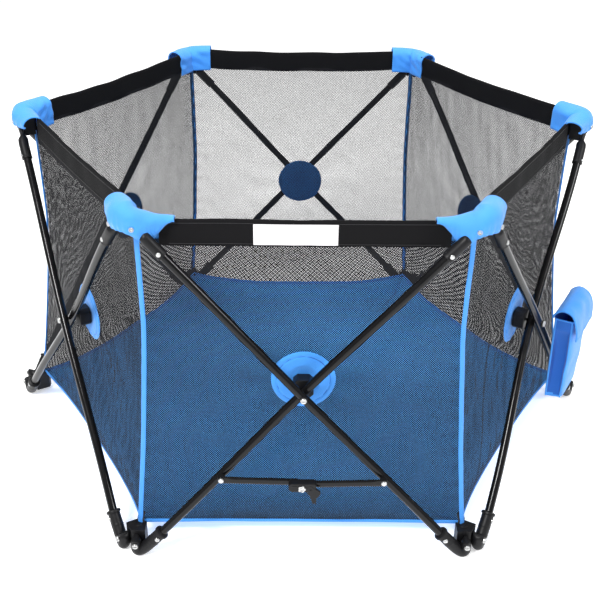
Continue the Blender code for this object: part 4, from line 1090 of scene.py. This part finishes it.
def pouch_points():
    """The pouch's cloth, and its places across the panel: a rounded box, open at the top, that sags.

    Rows go from the middle of the bottom out and up the walls. Round each row the place is a
    superellipse; the walls bulge with a sine of the height, and each side has a V pleat that is
    deepest half way up.
    """
    x0, x1, back, front, low, high = pouch_box()
    angle = np.linspace(0.0, 2.0 * np.pi, 144, endpoint=False)
    c, s = np.cos(angle), np.sin(angle)
    square = 0.28
    wide = np.sign(c) * np.abs(c) ** square
    deep = np.sign(s) * np.abs(s) ** square
    bottom = np.linspace(0.05, 1.0, 12)[:, None]
    up = np.linspace(0.0, 1.0, 56)[1:, None]
    size = np.concatenate([bottom, np.ones_like(up)])
    level = np.concatenate([0.0 * bottom, up])
    half_w = (x1 - x0) / 2.0 - 0.001
    half_d = (front - back) / 2.0 - 0.0005
    taper = 1.0 - 0.13 * (1.0 - level) ** 1.5
    x = half_w * wide * size * (1.0 - 0.03 * (1.0 - level))
    y = half_d * deep * size * taper
    side = smooth((np.abs(c) - 0.90) / 0.10)
    pleat = side * (0.5 + 0.5 * np.cos(np.clip(s / 0.35, -1.0, 1.0) * np.pi))
    x = x - np.sign(c) * 0.0150 * pleat * np.sin(np.pi * np.clip(level * 1.15, 0.0, 1.0)) ** 0.7
    sag = 0.0045 * np.sin(np.pi * level) * (deep > 0.5) * (1.0 - wide ** 2 * 0.8)
    creases = 0.0016 * ripple(x, level * 0.18, 150, 0.055) * np.sin(np.pi * np.clip(level, 0.0, 1.0))
    y = y + sag + creases * (deep > 0.3) - 0.004 * (deep > 0.5) * level ** 6 * (1.0 - wide ** 2)
    z = low + 0.001 + (high - low - 0.001) * level + 0.006 * (1.0 - size) + 0.003 * deep * (1.0 - level) ** 4
    return on_panel(POUCH_PANEL, (x0 + x1) / 2.0 + x, (back + front) / 2.0 + y, z), x


def flap_arch(t):
    """Depth and height of the flap's middle line: a cubic curve from its hinge over the mouth."""
    _, _, back, front, _, high = pouch_box()
    p = np.array([(back + 0.0004, high + 0.003), (back + 0.006, high + 0.040),
                  (front + 0.010, high + 0.042), (front + 0.0075, high - 0.031)])
    line = cubic(p, t)
    return line[..., 0], line[..., 1]


def flap_points(w, t):
    """The flap's cloth at w from -1 to 1 across it and t from 0 to 1 along it.

    It narrows at its front corners by a power of t, hangs lower there, and ripples near its free edge.
    """
    x0, x1 = pouch_box()[:2]
    depth, z = flap_arch(t)
    half = (x1 - x0) / 2.0 + 0.0065 - 0.004 * smooth((t - 0.85) / 0.15)
    droop = 0.005 * w ** 4 * smooth(t / 0.5) + 0.003 * (1.0 - w ** 2) * smooth((t - 0.7) / 0.3)
    ruffle = 0.0022 * ripple(w * 0.06, t * 0.14, 160, 0.05) * smooth(t / 0.3)
    return on_panel(POUCH_PANEL, (x0 + x1) / 2.0 + w * half, depth + ruffle, z - droop + 0.5 * ruffle)


class PLAYPEN_OT_pouch(bpy.types.Operator):
    """Sews the storage pouch with its pleated sides and bound edges, and its flap"""
    bl_idname = "playpen.pouch"
    bl_label = "Storage pouch"

    def execute(self, context):
        body = "crossing_front_right"
        points, x = pouch_points()
        shape = grid(points, loop=True)
        pouch = new_piece("pouch_body", shape, body, "cloth", closed=False, sharp=80.0)
        half_w = float(np.abs(x).max())
        # the pleated sides are cut from the darker cloth
        pouch.data.materials.append(material("gusset"))
        centres = np.empty(len(pouch.data.polygons) * 3)
        pouch.data.polygons.foreach_get("center", centres)
        local = turned(centres.reshape(-1, 3), -SIXTH * POUCH_PANEL)
        x0, x1, back, front, low, high = pouch_box()
        away = np.abs(local[:, 0] - (x0 + x1) / 2.0)
        inside = np.abs(-local[:, 1] - (back + front) / 2.0) < (front - back) / 2.0 - 0.005
        gusset = (away > half_w - 0.024) & inside & (local[:, 2] > low + 0.006)
        pouch.data.polygons.foreach_set("material_index", gusset.astype(np.int32))
        thicken(pouch, THICKNESS["pouch"], -1.0)
        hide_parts("storage_pouch")
        edges = []
        out = panel_axes(POUCH_PANEL)[0]
        # the columns of the box's upright edges
        for column in (9, 63, 81, 135):
            edges.append(sweep(points[10:, column], 0.0019, 0.0019, out, 12))
        rim = np.concatenate([points[-1], points[-1][:1]])
        edges.append(sweep(rim, 0.0017, 0.0017, UP, 10))
        new_piece("pouch_piping", joined(edges), body, "tape")

        w, t = np.meshgrid(np.linspace(-1.0, 1.0, 61), np.linspace(0.0, 1.0, 71))
        cloth = flap_points(w, t)
        flap = new_piece("flap_cloth", grid(cloth), "pouch_flap", "cloth", closed=False,
                         sharp=80.0)
        thicken(flap, THICKNESS["flap"])
        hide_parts("pouch_flap")
        run = np.linspace(0.02, 1.0, 60)
        edge_w = np.concatenate([-np.ones(60), np.linspace(-1.0, 1.0, 60)[1:-1], np.ones(60)])
        edge_t = np.concatenate([run, np.ones(58), run[::-1]])
        trim = sweep(flap_points(edge_w, edge_t), 0.0018, 0.0018, out, 12)
        new_piece("flap_piping", trim, "pouch_flap", "tape")
        return {"FINISHED"}


# ---- Stage --------------------------------------------------------------------------------------
def panel_light(name, place, aim, size, power):
    """A rectangular soft light at a place, turned to a point."""
    lamp = bpy.data.lights.new(name, "AREA")
    lamp.shape = "RECTANGLE"
    lamp.size, lamp.size_y = size
    lamp.energy = power
    obj = bpy.data.objects.new(name, lamp)
    obj.location = place
    way = np.array(aim, float) - np.array(place, float)
    back = -way / np.linalg.norm(way)
    side = np.cross(UP, back)
    side /= np.linalg.norm(side)
    rise = np.cross(back, side)
    obj.rotation_euler = Matrix(np.stack([side, rise, back], axis=1).tolist()).to_euler()
    bpy.context.scene.collection.objects.link(obj)


class PLAYPEN_OT_stage(bpy.types.Operator):
    """Sets the white floor, the soft lights and the camera"""
    bl_idname = "playpen.stage"
    bl_label = "Studio stage"

    def execute(self, context):
        scene = context.scene
        mesh = bpy.data.meshes.new("studio_floor")
        side = 14.0
        mesh.from_pydata([(-side, -side, 0), (side, -side, 0), (side, side, 0), (-side, side, 0)], [],
                         [(0, 1, 2, 3)])
        floor = bpy.data.objects.new("studio_floor", mesh)
        scene.collection.objects.link(floor)
        # matt white paper, with a faint drift in its shade
        mat, tree, principled, where = shader("white studio paper", Roughness=0.9, Specular_IOR_Level=0.1)
        drift = add(tree, "TexNoise", {"Vector": where["Object"], "Scale": 0.7})
        tint = add(tree, "Mix", {0: drift.outputs["Fac"], 6: (*linear("#FAFAFA"), 1.0),
                                 7: (*linear("#FFFFFF"), 1.0)}, data_type="RGBA")
        wired(tree, principled, Base_Color=tint.outputs[2])
        principled.inputs["Emission Color"].default_value = (1.0, 1.0, 1.0, 1.0)
        principled.inputs["Emission Strength"].default_value = 0.50
        mesh.materials.append(mat)

        # the backdrop is white to the camera and dimmer as a light
        world = bpy.data.worlds.new("studio")
        scene.world = world
        world.use_nodes = True
        tree = world.node_tree
        background = tree.nodes["Background"]
        background.inputs["Color"].default_value = (1.0, 1.0, 1.0, 1.0)
        seen = add(tree, "LightPath")
        strength = add(tree, "MapRange", {"Value": seen.outputs["Is Camera Ray"], "To Min": 0.42,
                                          "To Max": 1.0})
        tree.links.new(strength.outputs["Result"], background.inputs["Strength"])
        panel_light("key", (-1.5, -2.4, 3.0), (0.0, 0.0, 0.2), (0.9, 0.7), 120.0)
        panel_light("fill", (2.6, -1.6, 2.4), (0.0, 0.0, 0.3), (0.8, 0.8), 50.0)
        panel_light("top", (0.0, 0.6, 3.4), (0.0, 0.0, 0.0), (2.0, 1.4), 85.0)

        lens = bpy.data.cameras.new("camera")
        lens.lens, lens.sensor_width = 56.36, 36.0
        camera = bpy.data.objects.new("camera", lens)
        pitch, roll = math.radians(28.07), math.radians(0.745)
        level = np.array([0.0121, 0.99993, 0.0])
        right = np.array([0.99993, -0.0121, 0.0])
        forward = math.cos(pitch) * level - math.sin(pitch) * UP
        above = math.sin(pitch) * level + math.cos(pitch) * UP
        x = math.cos(roll) * right + math.sin(roll) * above
        y = -math.sin(roll) * right + math.cos(roll) * above
        turn = Matrix(np.stack([x, y, -forward], axis=1).tolist()).to_4x4()
        camera.matrix_world = Matrix.Translation((-0.0244, -1.8761, 1.2405)) @ turn
        scene.collection.objects.link(camera)
        scene.camera = camera
        scene.view_settings.view_transform = "Standard"
        return {"FINISHED"}


OPERATORS = [PLAYPEN_OT_tubes, PLAYPEN_OT_elbows, PLAYPEN_OT_hubs, PLAYPEN_OT_crossings, PLAYPEN_OT_brace,
             PLAYPEN_OT_nets, PLAYPEN_OT_bands, PLAYPEN_OT_caps, PLAYPEN_OT_seams, PLAYPEN_OT_discs,
             PLAYPEN_OT_floor, PLAYPEN_OT_pouch, PLAYPEN_OT_stage]


class PLAYPEN_PT_panel(bpy.types.Panel):
    """Lists the playpen's settings and the operators that build it"""
    bl_idname = "PLAYPEN_PT_panel"
    bl_label = "Folding Playpen"
    bl_space_type = "VIEW_3D"
    bl_region_type = "UI"
    bl_category = "Playpen"

    def draw(self, context):
        for group in (context.scene.playpen_sizes, context.scene.playpen_colours):
            column = self.layout.column()
            for name in group.__annotations__:
                column.prop(group, name)
        for operator in OPERATORS:
            self.layout.operator(operator.bl_idname)


CLASSES = [PlaypenSizes, PlaypenColours, *OPERATORS, PLAYPEN_PT_panel]


def register():
    for cls in CLASSES:
        bpy.utils.register_class(cls)
    bpy.types.Scene.playpen_sizes = PointerProperty(type=PlaypenSizes)
    bpy.types.Scene.playpen_colours = PointerProperty(type=PlaypenColours)


def unregister():
    del bpy.types.Scene.playpen_colours
    del bpy.types.Scene.playpen_sizes
    for cls in reversed(CLASSES):
        bpy.utils.unregister_class(cls)


def main():
    """Builds every piece in order."""
    register()
    for operator in OPERATORS:
        group, name = operator.bl_idname.split(".")
        getattr(getattr(bpy.ops, group), name)()


if __name__ == "__main__":
    main()
